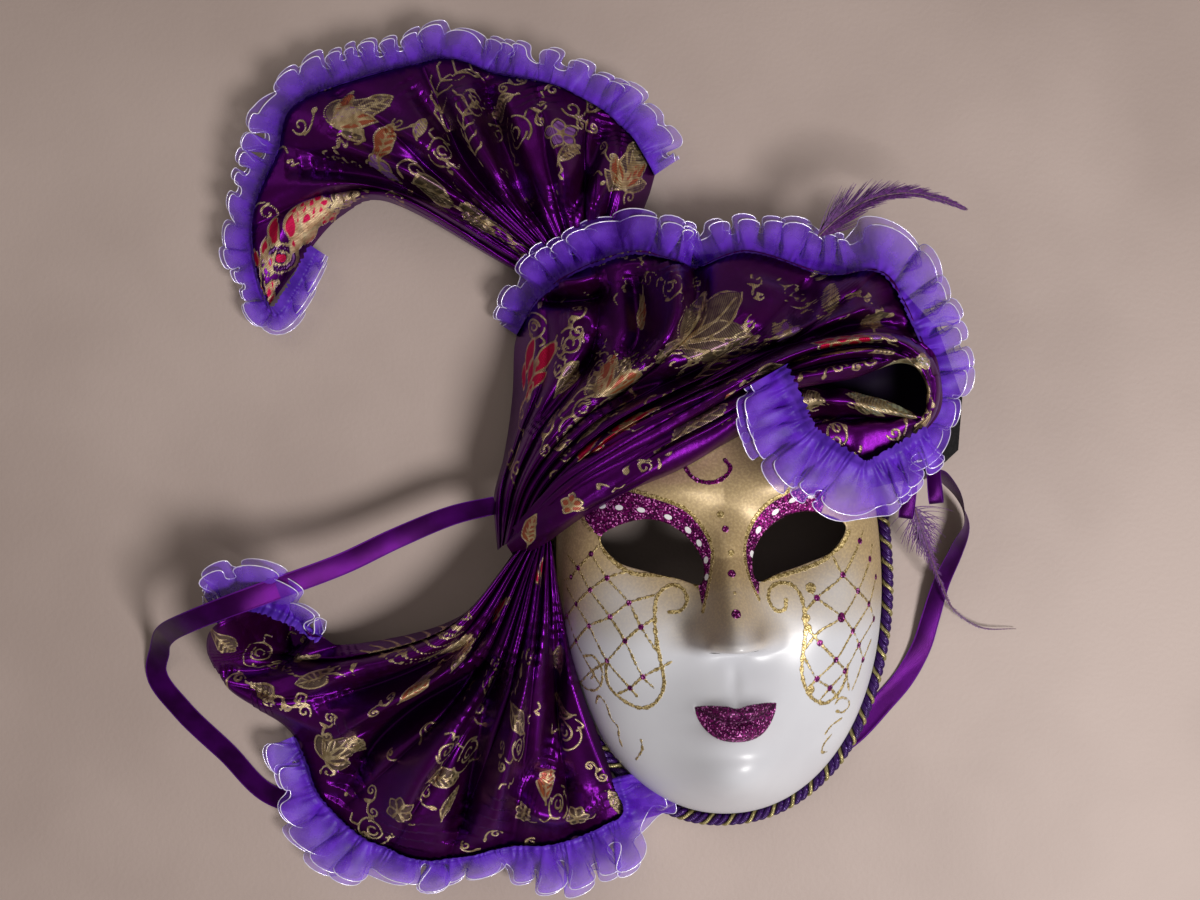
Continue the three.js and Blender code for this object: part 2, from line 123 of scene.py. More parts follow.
corners = np.arange(RIM_CORNERS) * 2 * math.pi / RIM_CORNERS - math.pi
outline = from_face(*rim_point(corners), 0.0)
solid_low, solid_high = (np.array(c) * 1000 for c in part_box("face_shell"))
SHIFT = (solid_low + solid_high - outline.min(0) - outline.max(0)) / 2
SHIFT[2] = solid_low[2]
print("the layout is shifted by", SHIFT.round(3), "mm")

# %% [markdown]
# The photograph was taken from straight above, with the mask's middle near the middle of the
# picture. A camera with a plain lens at the same height gives the same overlaps: the tall nose and
# pocket lean outwards and hide what lies behind them. Once the height of a point is known, the
# photograph gives its place.

# %% The camera
VIEW_HEIGHT = 620.0
PHOTO_SIZE = (1200, 900)
FOCAL_PIXELS = 1242.0
SENSOR = 36.0

camera_data = bpy.data.cameras.new("camera")
camera_data.sensor_width = SENSOR
camera_data.lens = FOCAL_PIXELS / PHOTO_SIZE[0] * SENSOR
camera = bpy.data.objects.new("camera", camera_data)
camera.location = (SHIFT + (0, 0, VIEW_HEIGHT)) / 1000
bpy.context.scene.collection.objects.link(camera)
bpy.context.scene.camera = camera
print("the camera looks down from", round(camera.location.z, 3), "m")


def seen_at(pixels, height):
    """Points of the layout at a height, from where they show in the photograph."""
    pixels = np.asarray(pixels, float)
    scale = (VIEW_HEIGHT - height) / FOCAL_PIXELS
    x = (pixels[..., 0] - PHOTO_SIZE[0] / 2) * scale
    y = (PHOTO_SIZE[1] / 2 - pixels[..., 1]) * scale
    return np.stack([x, y, x * 0 + height], -1)


def pixels_of(points):
    """Where points of the layout show in the photograph."""
    scale = FOCAL_PIXELS / (VIEW_HEIGHT - points[..., 2])
    x = PHOTO_SIZE[0] / 2 + points[..., 0] * scale
    y = PHOTO_SIZE[1] / 2 - points[..., 1] * scale
    return np.stack([x, y], -1)


# %% [markdown]
# Most edges here are smooth lines through a few points. This is the centripetal form of the
# Catmull-Rom curve, which doesn't loop between uneven points. It works on many curves at once, so
# it also draws a cloth from one row of points to the next.

# %% Smooth curves
TINY = 1e-9


def curve(points, t):
    """Points at parameters t, from 0 to 1, of the smooth curve through the given points."""
    points = np.asarray(points, float)
    ends = 2 * points[:1] - points[1:2], 2 * points[-1:] - points[-2:-1]
    padded = np.concatenate([ends[0], points, ends[1]])
    place = np.clip(t, 0, 1) * (len(points) - 1)
    k = np.minimum(place.astype(int), len(points) - 2)
    w = (place - k).reshape(-1, *(1,) * (points.ndim - 1))
    p0, p1, p2, p3 = (padded[k + i] for i in range(4))

    def gap(a, b):
        return np.maximum(np.linalg.norm(b - a, axis=-1, keepdims=True), TINY) ** 0.5

    d0, d1, d2 = gap(p0, p1), gap(p1, p2), gap(p2, p3)
    m1 = ((p1 - p0) / d0 - (p2 - p0) / (d0 + d1) + (p2 - p1) / d1) * d1
    m2 = ((p2 - p1) / d1 - (p3 - p1) / (d1 + d2) + (p3 - p2) / d2) * d1
    rise = p2 - p1
    return p1 + m1 * w + (3 * rise - 2 * m1 - m2) * w**2 + (m1 + m2 - 2 * rise) * w**3


def steps_of(line):
    return np.linalg.norm(np.diff(line, axis=0), axis=1)


def even_curve(points, count):
    """The same curve as points an even distance apart."""
    line = curve(points, np.linspace(0, 1, 40 * len(points)))
    run = np.concatenate([[0], np.cumsum(steps_of(line))])
    wanted = np.linspace(0, run[-1], count)
    return np.stack([np.interp(wanted, run, line[:, i]) for i in range(line.shape[1])], -1)


def unit(v):
    return v / np.maximum(np.linalg.norm(v, axis=-1, keepdims=True), TINY)


def axes_along(line):
    """Unit directions along a line, level to its left, and over it."""
    along = unit(np.gradient(line, axis=0))
    left = unit(np.cross((0.0, 0.0, 1.0), along))
    return along, left, np.cross(along, left)


def bell(x):
    return np.exp(-(x**2))


def smooth(x, low, high):
    w = np.clip((x - low) / (high - low), 0, 1)
    return w * w * (3 - 2 * w)


print("the rim is", round(float(steps_of(even_curve([*outline, outline[0]], 400)).sum())), "mm round")

# %% [markdown]
# A piece is a grid of points bent into shape, or a few grids joined. Its mesh also stores numbers,
# such as the distance from a painted line, that its finish reads. Every piece rides on the one body
# and hides the solid that it stands for.

# %% Meshes from grids
UP = np.array((0.0, 0.0, 1.0))


def grid_faces(rows, columns, wrap=False):
    """The quads of a grid of points, row by row. A wrapped grid closes on itself across."""
    j, i = np.meshgrid(np.arange(rows - 1), np.arange(columns - (not wrap)), indexing="ij")
    right = (i + 1) % columns
    quads = [j * columns + i, j * columns + right, (j + 1) * columns + right, (j + 1) * columns + i]
    return np.stack(quads, -1).reshape(-1, 4)


def add_piece(name, points, faces, materials, fields=None, face_material=None):
    """Makes a mesh piece from layout points, with one number per point for each named field."""
    mesh = bpy.data.meshes.new(name)
    place = (np.asarray(points).reshape(-1, 3) + SHIFT) / 1000
    mesh.from_pydata(place.tolist(), [], [tuple(map(int, f)) for f in faces])
    for field, values in (fields or {}).items():
        layer = mesh.attributes.new(field, "FLOAT", "POINT")
        layer.data.foreach_set("value", np.asarray(values, np.float32).ravel())
    mesh.shade_smooth()
    for material in materials:
        mesh.materials.append(material)
    if face_material is not None:
        mesh.polygons.foreach_set("material_index", np.asarray(face_material, np.int32))
    mesh.validate()
    piece = bpy.data.objects.new(name, mesh)
    bpy.context.scene.collection.objects.link(piece)
    print(name, "has", len(mesh.polygons), "faces")
    return piece


def finish_piece(piece, slot, *nodes):
    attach(piece, "root")
    if nodes:
        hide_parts(*nodes)


def tube(line, radius, sides):
    """Points of a tube round a line; the radius may change along it."""
    _, left, over = axes_along(line)
    angle = np.linspace(0, 2 * math.pi, sides, endpoint=False)
    radius = np.broadcast_to(radius, len(line))[:, None, None]
    ring = left[:, None] * np.cos(angle)[:, None] + over[:, None] * np.sin(angle)[:, None]
    return line[:, None] + radius * ring


def area_of(points, faces):
    """Area of a mesh of quads, in square millimetres."""
    a, b, c, d = (points.reshape(-1, 3)[faces[:, i]] for i in range(4))
    return np.linalg.norm(np.cross(c - a, d - b), axis=1).sum() / 2


trial = tube(np.array([(0.0, 0, 0), (1.0, 0, 0)]), 1.0, 4)
print("a square tube has sides of", round(float(area_of(trial, grid_faces(2, 4, wrap=True))), 3), "in all")

# %% [markdown]
# Finishes are node trees. Writing them as sums and products is easier to read than naming each
# node, so a small class wraps a socket: adding or multiplying two of them adds the Math node. Any
# other node comes from one method, which takes its type, its settings and its inputs.

# %% Sockets as values
class Value:
    """A socket of a finish's node tree, or a plain number beside it."""

    def __init__(self, finish, socket):
        self.finish = finish
        self.socket = socket

    def math(self, operation, *others):
        inputs = dict(enumerate((self, *others)))
        return self.finish.node("ShaderNodeMath", {"operation": operation}, inputs)

    def __add__(self, other):
        return self.math("ADD", other)

    def __sub__(self, other):
        return self.math("SUBTRACT", other)

    def __rsub__(self, other):
        return (self * -1) + other

    def __mul__(self, other):
        return self.math("MULTIPLY", other)

    __radd__ = __add__
    __rmul__ = __mul__

    def step(self, low, high):
        """0 below low and 1 above high, with a soft change between; high may be the lower one."""
        inputs = {"Value": self, "From Min": low, "From Max": high}
        return self.finish.node("ShaderNodeMapRange", {"interpolation_type": "SMOOTHSTEP"}, inputs)


print("values can be added, subtracted, multiplied and stepped")

# %% Finishes
class Finish:
    """One material being written."""

    def __init__(self, name):
        self.material = bpy.data.materials.new(name)
        self.material.use_nodes = True
        self.tree = self.material.node_tree
        self.tree.nodes.clear()

    def node(self, kind, settings=None, inputs=None, output=0):
        made = self.tree.nodes.new(kind)
        for key, value in (settings or {}).items():
            setattr(made, key, value)
        for key, value in (inputs or {}).items():
            if isinstance(value, Value):
                self.tree.links.new(value.socket, made.inputs[key])
            else:
                made.inputs[key].default_value = value
        return Value(self, made.outputs[output])

    def field(self, name):
        """A number stored at the mesh's points."""
        return self.node("ShaderNodeAttribute", {"attribute_name": name}, output="Fac")

    def place(self):
        """The position on the object, in metres, for patterns that stay put in every view."""
        return self.node("ShaderNodeTexCoord", output="Object")

    def noise(self, scale, detail=3.0, rough=0.5):
        inputs = {"Vector": self.place(), "Scale": scale, "Detail": detail, "Roughness": rough}
        return self.node("ShaderNodeTexNoise", None, inputs)

    def waves(self, scale, distortion=0.0, detail=2.0, bands="DIAGONAL"):
        inputs = {"Vector": self.place(), "Scale": scale, "Distortion": distortion, "Detail": detail}
        return self.node("ShaderNodeTexWave", {"bands_direction": bands}, inputs)

    def mix(self, amount, first, second):
        """From the first colour to the second."""
        inputs = {0: amount, 6: first, 7: second}
        return self.node("ShaderNodeMix", {"data_type": "RGBA"}, inputs, output=2)

    def bump(self, height, distance, strength=1.0):
        inputs = {"Height": height, "Distance": distance, "Strength": strength}
        return self.node("ShaderNodeBump", None, inputs)

    def surface(self, **inputs):
        """The closing shader. A double underscore in a name stands for a space."""
        named = {key.replace("__", " "): value for key, value in inputs.items()}
        shader = self.node("ShaderNodeBsdfPrincipled", None, named)
        output = self.tree.nodes.new("ShaderNodeOutputMaterial")
        self.tree.links.new(shader.socket, output.inputs["Surface"])
        return self.material


def colour(red, green, blue):
    return (red, green, blue, 1.0)


steps = [name for name in vars(Finish) if not name.startswith("_")]
print("a finish is written with", ", ".join(steps))

# %% [markdown]
# The ties are polyester satin ribbon, 10.5 mm wide. One leaves the left temple, crosses the curled
# end of the fan and lies on the table; the other turns over once below the right temple and slips
# under the chin. Satin is smooth along its length, with a fine ribbed edge, so a number across the
# ribbon marks its two edges.

# %% Satin ribbon
def satin_ribbon():
    f = Finish("satin_ribbon")
    across = f.field("across")
    edge = across.step(0.86, 0.93)
    cloud = f.noise(60.0)
    ribs = f.waves(900.0)
    shade = f.mix(cloud.step(0.35, 0.7), colour(0.014, 0.0004, 0.022), colour(0.034, 0.0008, 0.065))
    return f.surface(
        Base__Color=f.mix(edge * 0.7, shade, colour(0.075, 0.006, 0.17)),
        Roughness=0.30 + edge * 0.2,
        Metallic=0.2,
        IOR=1.8,
        Specular__Tint=colour(0.25, 0.03, 0.38),
        Normal=f.bump(ribs * 0.3 + edge, 0.0002, 0.5),
    )


SATIN = satin_ribbon()
print("made", SATIN.name)

# %% The two ties
RIBBON_WIDTH = 10.5
RIBBON_CUP = 0.35
RIBBON_LOWEST = 0.5  # of its middle line
EDGE_LOWEST = 0.3
LEFT_TIE = [
    (-49, -26, 32), (-70, -31, 30), (-97, -42, 30), (-120, -53, 36), (-144, -62, 46), (-166, -70, 54),
    (-189, -79, 51), (-205, -87, 34), (-217, -99, 8), (-221, -112, 0.5), (-208, -130, 0.5),
    (-186, -151, 0.5), (-164, -172, 0.5), (-130, -178, 0.5), (-80, -172, 0.5), (-22, -155, 0.5),
]
RIGHT_TIE = [
    (148, -14, 40), (162, -12, 26), (175, -24, 14), (180, -37, 9), (176, -50, 6.5), (169, -66, 5),
    (164, -84, 3), (160, -98, 1.5), (152, -113, 0.5), (142, -125, 0.5), (122, -145, 0.5),
    (98, -154, 0.5), (64, -160, 0.5), (44, -170, 0.5), (24, -178, 0.5), (-30, -186, 0.5),
    (-90, -187, 0.5),
]
LEFT_TURN = [35, 20, 10, 10, 20, 10, 0, 0, -10, 0, 0, 0, 0]  # degrees, evenly along the tie
RIGHT_TURN = [-60, -78, -142, -162, -174] + [-180] * 8
TIE_STEPS = 240
TIE_STRIPS = 8


def tie(name, points, turn):
    """A ribbon that lies level along its route, with a slight cup and a given turn along it."""
    line = even_curve(points, TIE_STEPS)
    line[:, 2] = np.maximum(line[:, 2], RIBBON_LOWEST)
    _, left, over = axes_along(line)
    angle = np.radians(curve(np.array(turn, float)[:, None], np.linspace(0, 1, TIE_STEPS)))
    side = over * np.sin(angle) - left * np.cos(angle)
    over = over * np.cos(angle) + left * np.sin(angle)
    w = np.linspace(-1, 1, TIE_STRIPS + 1)
    points = line[:, None] + side[:, None] * (w[:, None] * RIBBON_WIDTH / 2)
    points = points + over[:, None] * (RIBBON_CUP * (1 - w[:, None] ** 2))
    points[..., 2] = np.maximum(points[..., 2], EDGE_LOWEST)
    across = np.broadcast_to(np.abs(w), points.shape[:2])
    faces = grid_faces(TIE_STEPS, TIE_STRIPS + 1)
    piece = add_piece(name + "_ribbon", points, faces, [SATIN], {"across": across})
    finish_piece(piece, "satin_ribbon", name)


tie("left_tie", LEFT_TIE, LEFT_TURN)
tie("right_tie", RIGHT_TIE, RIGHT_TURN)

# %% [markdown]
# The face is a shell moulded over a form, 2.2 mm thick. It could be sculpted by hand, but its shape
# is simple enough to write down: a dome that falls steeply to the rim, with soft swellings for the
# nose, brow, cheeks and chin. The lips, nostrils and eyelids are too fine for the packed solid, so
# they are added here to the same height.

# %% The face's height
FIRST_GUESS = 50.0  # of the height of a painted mark
NOSE_TIP = -24.0
NOSE_TOP = 12.0
NOSE_RISE = 32.0
NOSE_WIDTH = (9, 13)  # at the top and at the tip
BRIDGE_RISE = 8.0
# Each swelling lies on both halves: its place beside and above the middle, its width and length, and
# how far it rises
SWELLINGS = [
    (25, 44, 24, 10, 5),  # brow
    (34, 15, 24, 16, -8),  # eye socket
    (46, -24, 20, 16, 3),  # cheek
    (12, -25, 6, 6, 7),  # side of the nose
    (0, -58, 26, 20, 12),  # mouth
    (6, -56.5, 9, 4, 5),  # upper lip
    (0, -66, 12, 4.5, 7),  # lower lip
    (0, -92, 24, 20, 20),  # chin
]


def swellings(u, v, marks):
    rise = 0.0
    for beside, above, width, length, height in marks:
        rise = rise + height * bell((np.abs(u) - beside) / width) * bell((v - above) / length)
    return rise


def face_height(u, v):
    share = np.minimum(rim_share(u, v), 1)
    dome = DOME_HEIGHT * (1 - share**DOME_POWER) ** (1 / DOME_POWER)
    down = np.clip((NOSE_TOP - v) / (NOSE_TOP - NOSE_TIP), 0, 1)
    under = smooth(v, NOSE_TIP - 9, NOSE_TIP - 2)
    top = 1 - smooth(v, NOSE_TOP, NOSE_TOP + 24)
    width = NOSE_WIDTH[0] + (NOSE_WIDTH[1] - NOSE_WIDTH[0]) * down
    nose = (BRIDGE_RISE + (NOSE_RISE - BRIDGE_RISE) * down) * under * top * bell(u / width)
    return dome + (nose + swellings(u, v, SWELLINGS)) * (1 - share**6)


def on_face(pixels):
    """Points of the face, in its own axes, from where they show in the photograph."""
    height = np.full(np.shape(pixels)[:-1], FIRST_GUESS)
    for _ in range(12):
        x, y, _ = np.moveaxis(seen_at(pixels, height), -1, 0)
        u, v = to_face(x, y)
        height = 0.5 * height + 0.5 * face_height(u, v)
    return np.stack([u, v, height], -1)


print("the nose tip stands", round(float(face_height(np.array(0.0), np.array(NOSE_TIP))), 1), "mm high")

# %% [markdown]
# The lips are drawn as three lines across the mouth: the upper edge with its bow, the parting and
# the lower edge. The finer forms are swellings too small for the solid: a groove above the lips, a
# crease above the chin, the nostrils and their wings.

# %% The lips and the finer forms
MOUTH_HALF = 18.5
MOUTH_AT = -61.5
CORNER_RISE = 6.5
UPPER_LIP = 8.0
LOWER_LIP = 8.5
LIP_EDGE_RISE = 1.1
PARTING_DEPTH = 2.0
NOSTRIL_DEPTH = 3.2
NOSTRIL_SLANT = 0.4
FINE_FORMS = [  # as the swellings
    (0, -44, 3, 6, -1.2),  # groove above the lips
    (0, -78, 15, 4.5, -1.6),  # crease above the chin
    (12.5, -24.5, 2.6, 4, 1.2),  # wing of a nostril
]


def lip_edges(u):
    """Heights of the upper edge, the parting line and the lower edge of the lips at u."""
    w = np.clip(np.abs(u) / MOUTH_HALF, 0, 1)
    corner = MOUTH_AT + CORNER_RISE
    parting = MOUTH_AT + CORNER_RISE * w**1.6
    bow = UPPER_LIP * (1 - w**3.2) - 1.2 * bell(u / 3.5)
    upper = np.maximum(MOUTH_AT + bow + CORNER_RISE * w**3.0, parting)
    lower = corner - (corner - MOUTH_AT + LOWER_LIP) * np.maximum(1 - w**2.6, 0) ** 0.6
    return upper, parting, lower


def inside_lips(u, v):
    """How far inside the lips a point lies, in millimetres; less than 0 outside them."""
    upper, _, lower = lip_edges(u)
    return np.minimum(np.minimum(upper - v, v - lower), (MOUTH_HALF - np.abs(u)) * 0.8)


def fine_height(u, v):
    _, parting, _ = lip_edges(u)
    across = np.clip(1 - (np.abs(u) / MOUTH_HALF) ** 2, 0, 1)
    edge = LIP_EDGE_RISE * smooth(inside_lips(u, v), -1.5, 1.2) * across
    seam = -PARTING_DEPTH * bell((v - parting) / 1.3) * across**0.5
    slanted = np.abs(u) - 8.5 - (v + 29.8) * NOSTRIL_SLANT
    nostril = -NOSTRIL_DEPTH * bell(slanted / 4.2) * bell((v + 30.2) / 1.3)
    return edge + seam + nostril + swellings(u, v, FINE_FORMS)


upper, _, lower = lip_edges(np.array(0.0))
print("the lips are", 2 * MOUTH_HALF, "mm wide and", round(float(upper - lower), 1), "mm high")

# %% [markdown]
# A grid of small squares, bent into the rim's shape, covers the face evenly, so that painted lines
# a millimetre wide stay clean everywhere. The eye holes are cut by leaving out the squares inside
# the outline and pulling the torn edge onto it. A coarser copy, one wall thickness lower, will be
# the inside.

# %% Cutting the eye holes
EYE_OUTLINE = [(57, 22), (38, 30), (25, 27), (15, 18), (11, 8), (13, 0), (23, 2.5), (37, 6), (50, 11)]
EYE_POINTS = 240


def eye_line(side):
    """The outline of one eye hole, as a closed smooth line."""
    points = np.array(EYE_OUTLINE, float) * (side, 1)
    looped = np.concatenate([points[-3:], points, points[:3]])
    return curve(looped, np.linspace(3, 3 + len(points), EYE_POINTS, endpoint=False) / (len(looped) - 1))


def inside_line(u, v, line):
    """Which points lie inside a closed line, by counting the crossings of a level ray."""
    inside = np.zeros(np.shape(u), bool)
    for (x0, y0), (x1, y1) in zip(line, np.roll(line, -1, axis=0)):
        crosses = (y0 > v) != (y1 > v)
        if y1 != y0:
            inside ^= crosses & (u < x0 + (v - y0) * (x1 - x0) / (y1 - y0))
    return inside


def nearest_on(points, line):
    """For each point, the nearest place on a line of points and its distance."""
    near = np.zeros_like(points)
    best = np.full(len(points), np.inf)
    for a, b in zip(line[:-1], line[1:]):
        d = b - a
        w = np.clip(((points - a) @ d) / max(d @ d, TINY**2), 0, 1)
        at = a + w[:, None] * d
        far = ((points - at) ** 2).sum(1)
        closer = far < best
        near[closer] = at[closer]
        best[closer] = far[closer]
    return near, np.sqrt(best)


def cut_grid(u, v):
    """Faces of the grid without the eye holes, with the torn edges pulled onto the outlines."""
    rows, columns = u.shape
    u, v = u.ravel().copy(), v.ravel().copy()
    faces = grid_faces(rows, columns)
    keep = np.ones(len(faces), bool)
    for side in (-1, 1):
        line = eye_line(side)
        middle = u[faces].mean(1), v[faces].mean(1)
        hole = inside_line(*middle, line)
        keep &= ~hole
        border = np.intersect1d(faces[hole], faces[~hole])
        closed = np.concatenate([line, line[:1]])
        near, _ = nearest_on(np.stack([u[border], v[border]], 1), closed)
        u[border], v[border] = near.T
    return u, v, faces[keep]


print("an eye hole is", round(float(np.ptp(eye_line(1)[:, 0])), 1), "mm wide")

# %% The face's grid
FACE_COLUMNS = 232
FACE_ROWS = 326
ON_RIM = 0.9999


def face_grid(columns, rows):
    """Face axes of a grid whose border is the rim."""
    t, s = np.meshgrid(np.linspace(-1, 1, rows), np.linspace(-1, 1, columns), indexing="ij")
    disc_u = s * np.sqrt(1 - t * t / 2)
    disc_v = t * np.sqrt(1 - s * s / 2)
    reach = np.hypot(disc_u, disc_v)
    angle = np.arctan2(disc_v * (CHIN_LENGTH + CROWN_LENGTH) / 2, disc_u * HALF_WIDTH)
    edge_u, edge_v = rim_point(angle)
    return reach * edge_u, reach * edge_v


face_u, face_v, face_quads = cut_grid(*face_grid(FACE_COLUMNS, FACE_ROWS))
bare = face_height(face_u, face_v)
face_z = bare + fine_height(face_u, face_v)
on_rim = rim_share(face_u, face_v) > ON_RIM
face_z[on_rim] = rim_lift(np.arctan2(face_v, face_u))[on_rim]
face_top = from_face(face_u, face_v, face_z)
square = 2 * HALF_WIDTH / FACE_COLUMNS
print("the face's grid has", len(face_quads), "squares of about", round(square, 2), "mm")

# %% [markdown]
# The paint is laid on by hand: gold and purple glitter glue from a fine nozzle, over an airbrushed
# gold that fades into white. Each line is followed through the places where it shows in the
# photograph, laid on the curved face, and every point of the mesh stores its distance from the
# nearest line. The finish then turns those distances into glitter with rough edges.

# %% Painted lines and dots
FAR = 9.0  # the distance stored where no line is near
NEAR_LINE = 6  # a line is laid on the points this near to it
PAINT_GAP = 0.7


def painted(pixels):
    """A painted line as points on the face, closely spaced."""
    marks = on_face(pixels)
    length = steps_of(even_curve(marks, 60)).sum()
    line = even_curve(marks, max(int(length / PAINT_GAP), 3))
    line[:, 2] = face_height(line[:, 0], line[:, 1])
    return line


def lay_line(field, line, half, shake, seed=0):
    """Keeps the least distance from the edge of a line, shaken a little, for the points near it."""
    low, high = line.min(0) - NEAR_LINE, line.max(0) + NEAR_LINE
    near = np.nonzero(((surface > low) & (surface < high)).all(1))[0]
    at, distance = nearest_on(surface[near], line)
    wobble = shake * np.sin(at[:, 0] * 1.7 + seed) * np.sin(at[:, 1] * 1.3 + seed * 2)
    field[near] = np.minimum(field[near], distance - half - wobble)


def lay_dots(field, dots):
    """Dots by their place in the photograph and their size in millimetres."""
    dots = np.array(dots, float)
    for centre, size in zip(on_face(dots[:, :2]), dots[:, 2]):
        distance = np.linalg.norm(surface - centre, axis=1) - size / 2
        np.minimum(field, distance, out=field)


surface = np.stack([face_u, face_v, bare], -1)
gold, purple, white = (np.full(len(face_u), FAR) for _ in range(3))
GOLD_DOTS = [
    (720.5, 514.5, 3.2), (731.5, 553, 3.0), (735, 593, 1.6),
    (811, 588, 5.0), (806, 618, 4.0), (808, 628, 3.6), (811, 690, 4.0),
]
PURPLE_DOTS = [(725.5, 529, 3.2), (732, 573.5, 3.8), (736.5, 614, 4.4), (841.5, 617.5, 4.6)]
FOREHEAD_ARC = [(685, 467), (692, 477), (703, 482), (715, 482), (726, 476), (730.5, 468), (725, 460)]
lay_dots(gold, GOLD_DOTS)
lay_dots(purple, PURPLE_DOTS)
lay_line(purple, painted(FOREHEAD_ARC), half=0.95, shake=0.2)
print("laid", len(GOLD_DOTS) + len(PURPLE_DOTS), "dots and the arc on the forehead")

# %% [markdown]
# Each cheek has a net of thin gold lines with a purple bead on every crossing, held by one bolder
# loop and finished with small curls. The nets aren't mirrored, so both are written down. A crossing
# is a point that two lines of a net share.

# %% The nets on the cheeks
LEFT_LOOP = [
    (669, 612), (680, 611), (687, 601), (683, 589), (671, 585), (658, 595), (655, 612), (656, 636),
    (660, 658), (664, 686), (655, 703), (641, 708), (623, 700), (609, 686), (606, 671), (607, 660),
]
LEFT_LATTICE = [
    [(591, 554), (607, 578), (629, 603), (641, 627), (656, 650)],
    [(568, 556), (578, 568), (590, 590), (610, 617), (625, 641), (643, 677), (654, 688)],
    [(566, 585), (576, 604), (589, 626), (607, 661), (630, 688), (637, 696)],
    [(563, 606), (567, 616), (576, 641), (590, 668), (601, 686)],
    [(564, 580), (571, 577), (578, 568), (591, 554), (598, 546)],
    [(562, 622), (567, 616), (576, 604), (590, 590), (607, 578), (625, 572)],
    [(569, 650), (576, 641), (589, 626), (610, 617), (629, 603), (655, 595)],
    [(578, 684), (592, 671), (607, 661), (625, 641), (641, 627), (656, 618)],
    [(618, 694), (630, 688), (643, 677), (671, 662)],
]
LEFT_CURLS = [
    [(585, 656), (593, 656), (601, 667), (602, 681), (596, 690), (587, 689), (580, 683)],
    [(591, 679), (594, 673), (590, 668)],
    [(596, 703), (599, 696), (606, 704), (611, 718), (618, 727), (619, 737), (622, 746)],
    [(641, 740), (642.5, 748), (636, 760)],
]
RIGHT_LOOP = [
    (786, 600), (785, 609), (777, 611), (769, 601), (770, 589), (779, 583), (792, 585), (800, 594),
    (804, 608), (805.5, 631), (803, 654), (802, 674), (808, 693), (818, 702), (826, 703), (837, 695),
    (844, 683), (848, 665),
]
RIGHT_LATTICE = [
    [(804, 613), (817, 598), (843, 575), (860, 541), (863, 531)],
    [(804, 650), (819, 632), (842, 617), (858, 591), (870, 559), (872, 545)],
    [(806, 690), (817, 679), (836, 660), (853, 631), (869, 604), (876, 577)],
    [(820, 700), (830, 688), (845, 671), (859, 645), (874, 619)],
    [(852, 690), (857, 678), (863, 660), (871, 640)],
    [(833, 557), (843, 575), (858, 591), (869, 604), (874, 619)],
    [(806, 586), (817, 598), (842, 617), (853, 631), (859, 645), (863, 660)],
    [(805, 625), (820, 643), (836, 660), (845, 671), (849, 690)],
    [(803, 655), (817, 679), (830, 688), (838, 698)],
]
RIGHT_CURLS = [
    [(835, 704), (840, 698), (848, 700), (849, 706), (843, 712), (836, 711)],
    [(842, 718), (831, 726), (825, 734)],
    [(831, 735), (824, 744), (822, 752), (827, 752)],
]
LEFT_END_BEADS = [(571, 577)]  # on one line only
RIGHT_END_BEADS = [(860, 541), (870, 559), (876, 577), (820, 643)]
LEFT_BEAD, RIGHT_BEAD = 2.7, 3.0  # sizes
LOOP_HALF = 0.84375  # half the width of a bold line of glitter glue
LINE_HALF = 0.53125


def crossings(lines):
    points = [point for line in lines for point in line]
    return sorted({point for point in points if points.count(point) > 1})


strokes = [LEFT_LOOP, RIGHT_LOOP, *LEFT_LATTICE, *RIGHT_LATTICE, *LEFT_CURLS, *RIGHT_CURLS]
for number, stroke in enumerate(strokes):
    lay_line(gold, painted(stroke), LOOP_HALF if number < 2 else LINE_HALF, shake=0.25, seed=number)
left_beads = [(*at, LEFT_BEAD) for at in crossings(LEFT_LATTICE) + LEFT_END_BEADS]
right_beads = [(*at, RIGHT_BEAD) for at in crossings(RIGHT_LATTICE) + RIGHT_END_BEADS]
lay_dots(purple, left_beads + right_beads)
print("laid", len(strokes), "gold lines and", len(left_beads + right_beads), "beads on the cheeks")

# %% [markdown]
# A band of purple glitter runs over each eye, between the hole's edge and an outer line, and ends in
# a point beside the nose. White ovals sit on it like a string of pearls. The lips are the same
# glitter. A point's distance inside the band is worked out like its distance from a line, with a
# minus sign inside.

# %% The eye bands and their ovals
EYES = {  # the outer line of the band, the gold line below the eye and the ovals, for each side
    -1: [
        [
            (592, 531), (583, 518), (590, 492), (625, 489), (648, 495), (667, 501), (685, 509), (697, 520),
            (708, 537), (712.5, 553), (711, 569), (708, 588), (703, 611),
        ],
        [
            (584, 523), (598, 533), (604, 550), (616, 563), (632, 573), (653, 575), (674, 576), (692, 581),
            (699, 588),
        ],
        [(602, 506), (619, 507.5), (641, 510), (668, 517), (688, 530), (699, 543), (706, 560), (706.5, 577)],
    ],
    1: [
        [
            (828, 488), (815, 485), (797, 487), (784, 494), (770, 502), (758, 514), (749, 530), (745, 546),
            (746, 564), (751, 582), (759, 599),
        ],
        [(762, 580), (776, 577), (790, 573), (806, 568), (822, 561), (834, 552), (843, 543), (849, 531)],
        [(811, 496), (793, 500), (775.5, 512), (758.5, 530), (752, 554), (759, 579)],
    ],
}
OVAL_LENGTH = (4.4, 3.2)  # at the brow and at the nose
OVAL_WIDTH = 2.5
GOLD_EDGE = 1.0  # half the width of the gold line round a band
NEAR_BAND = 4


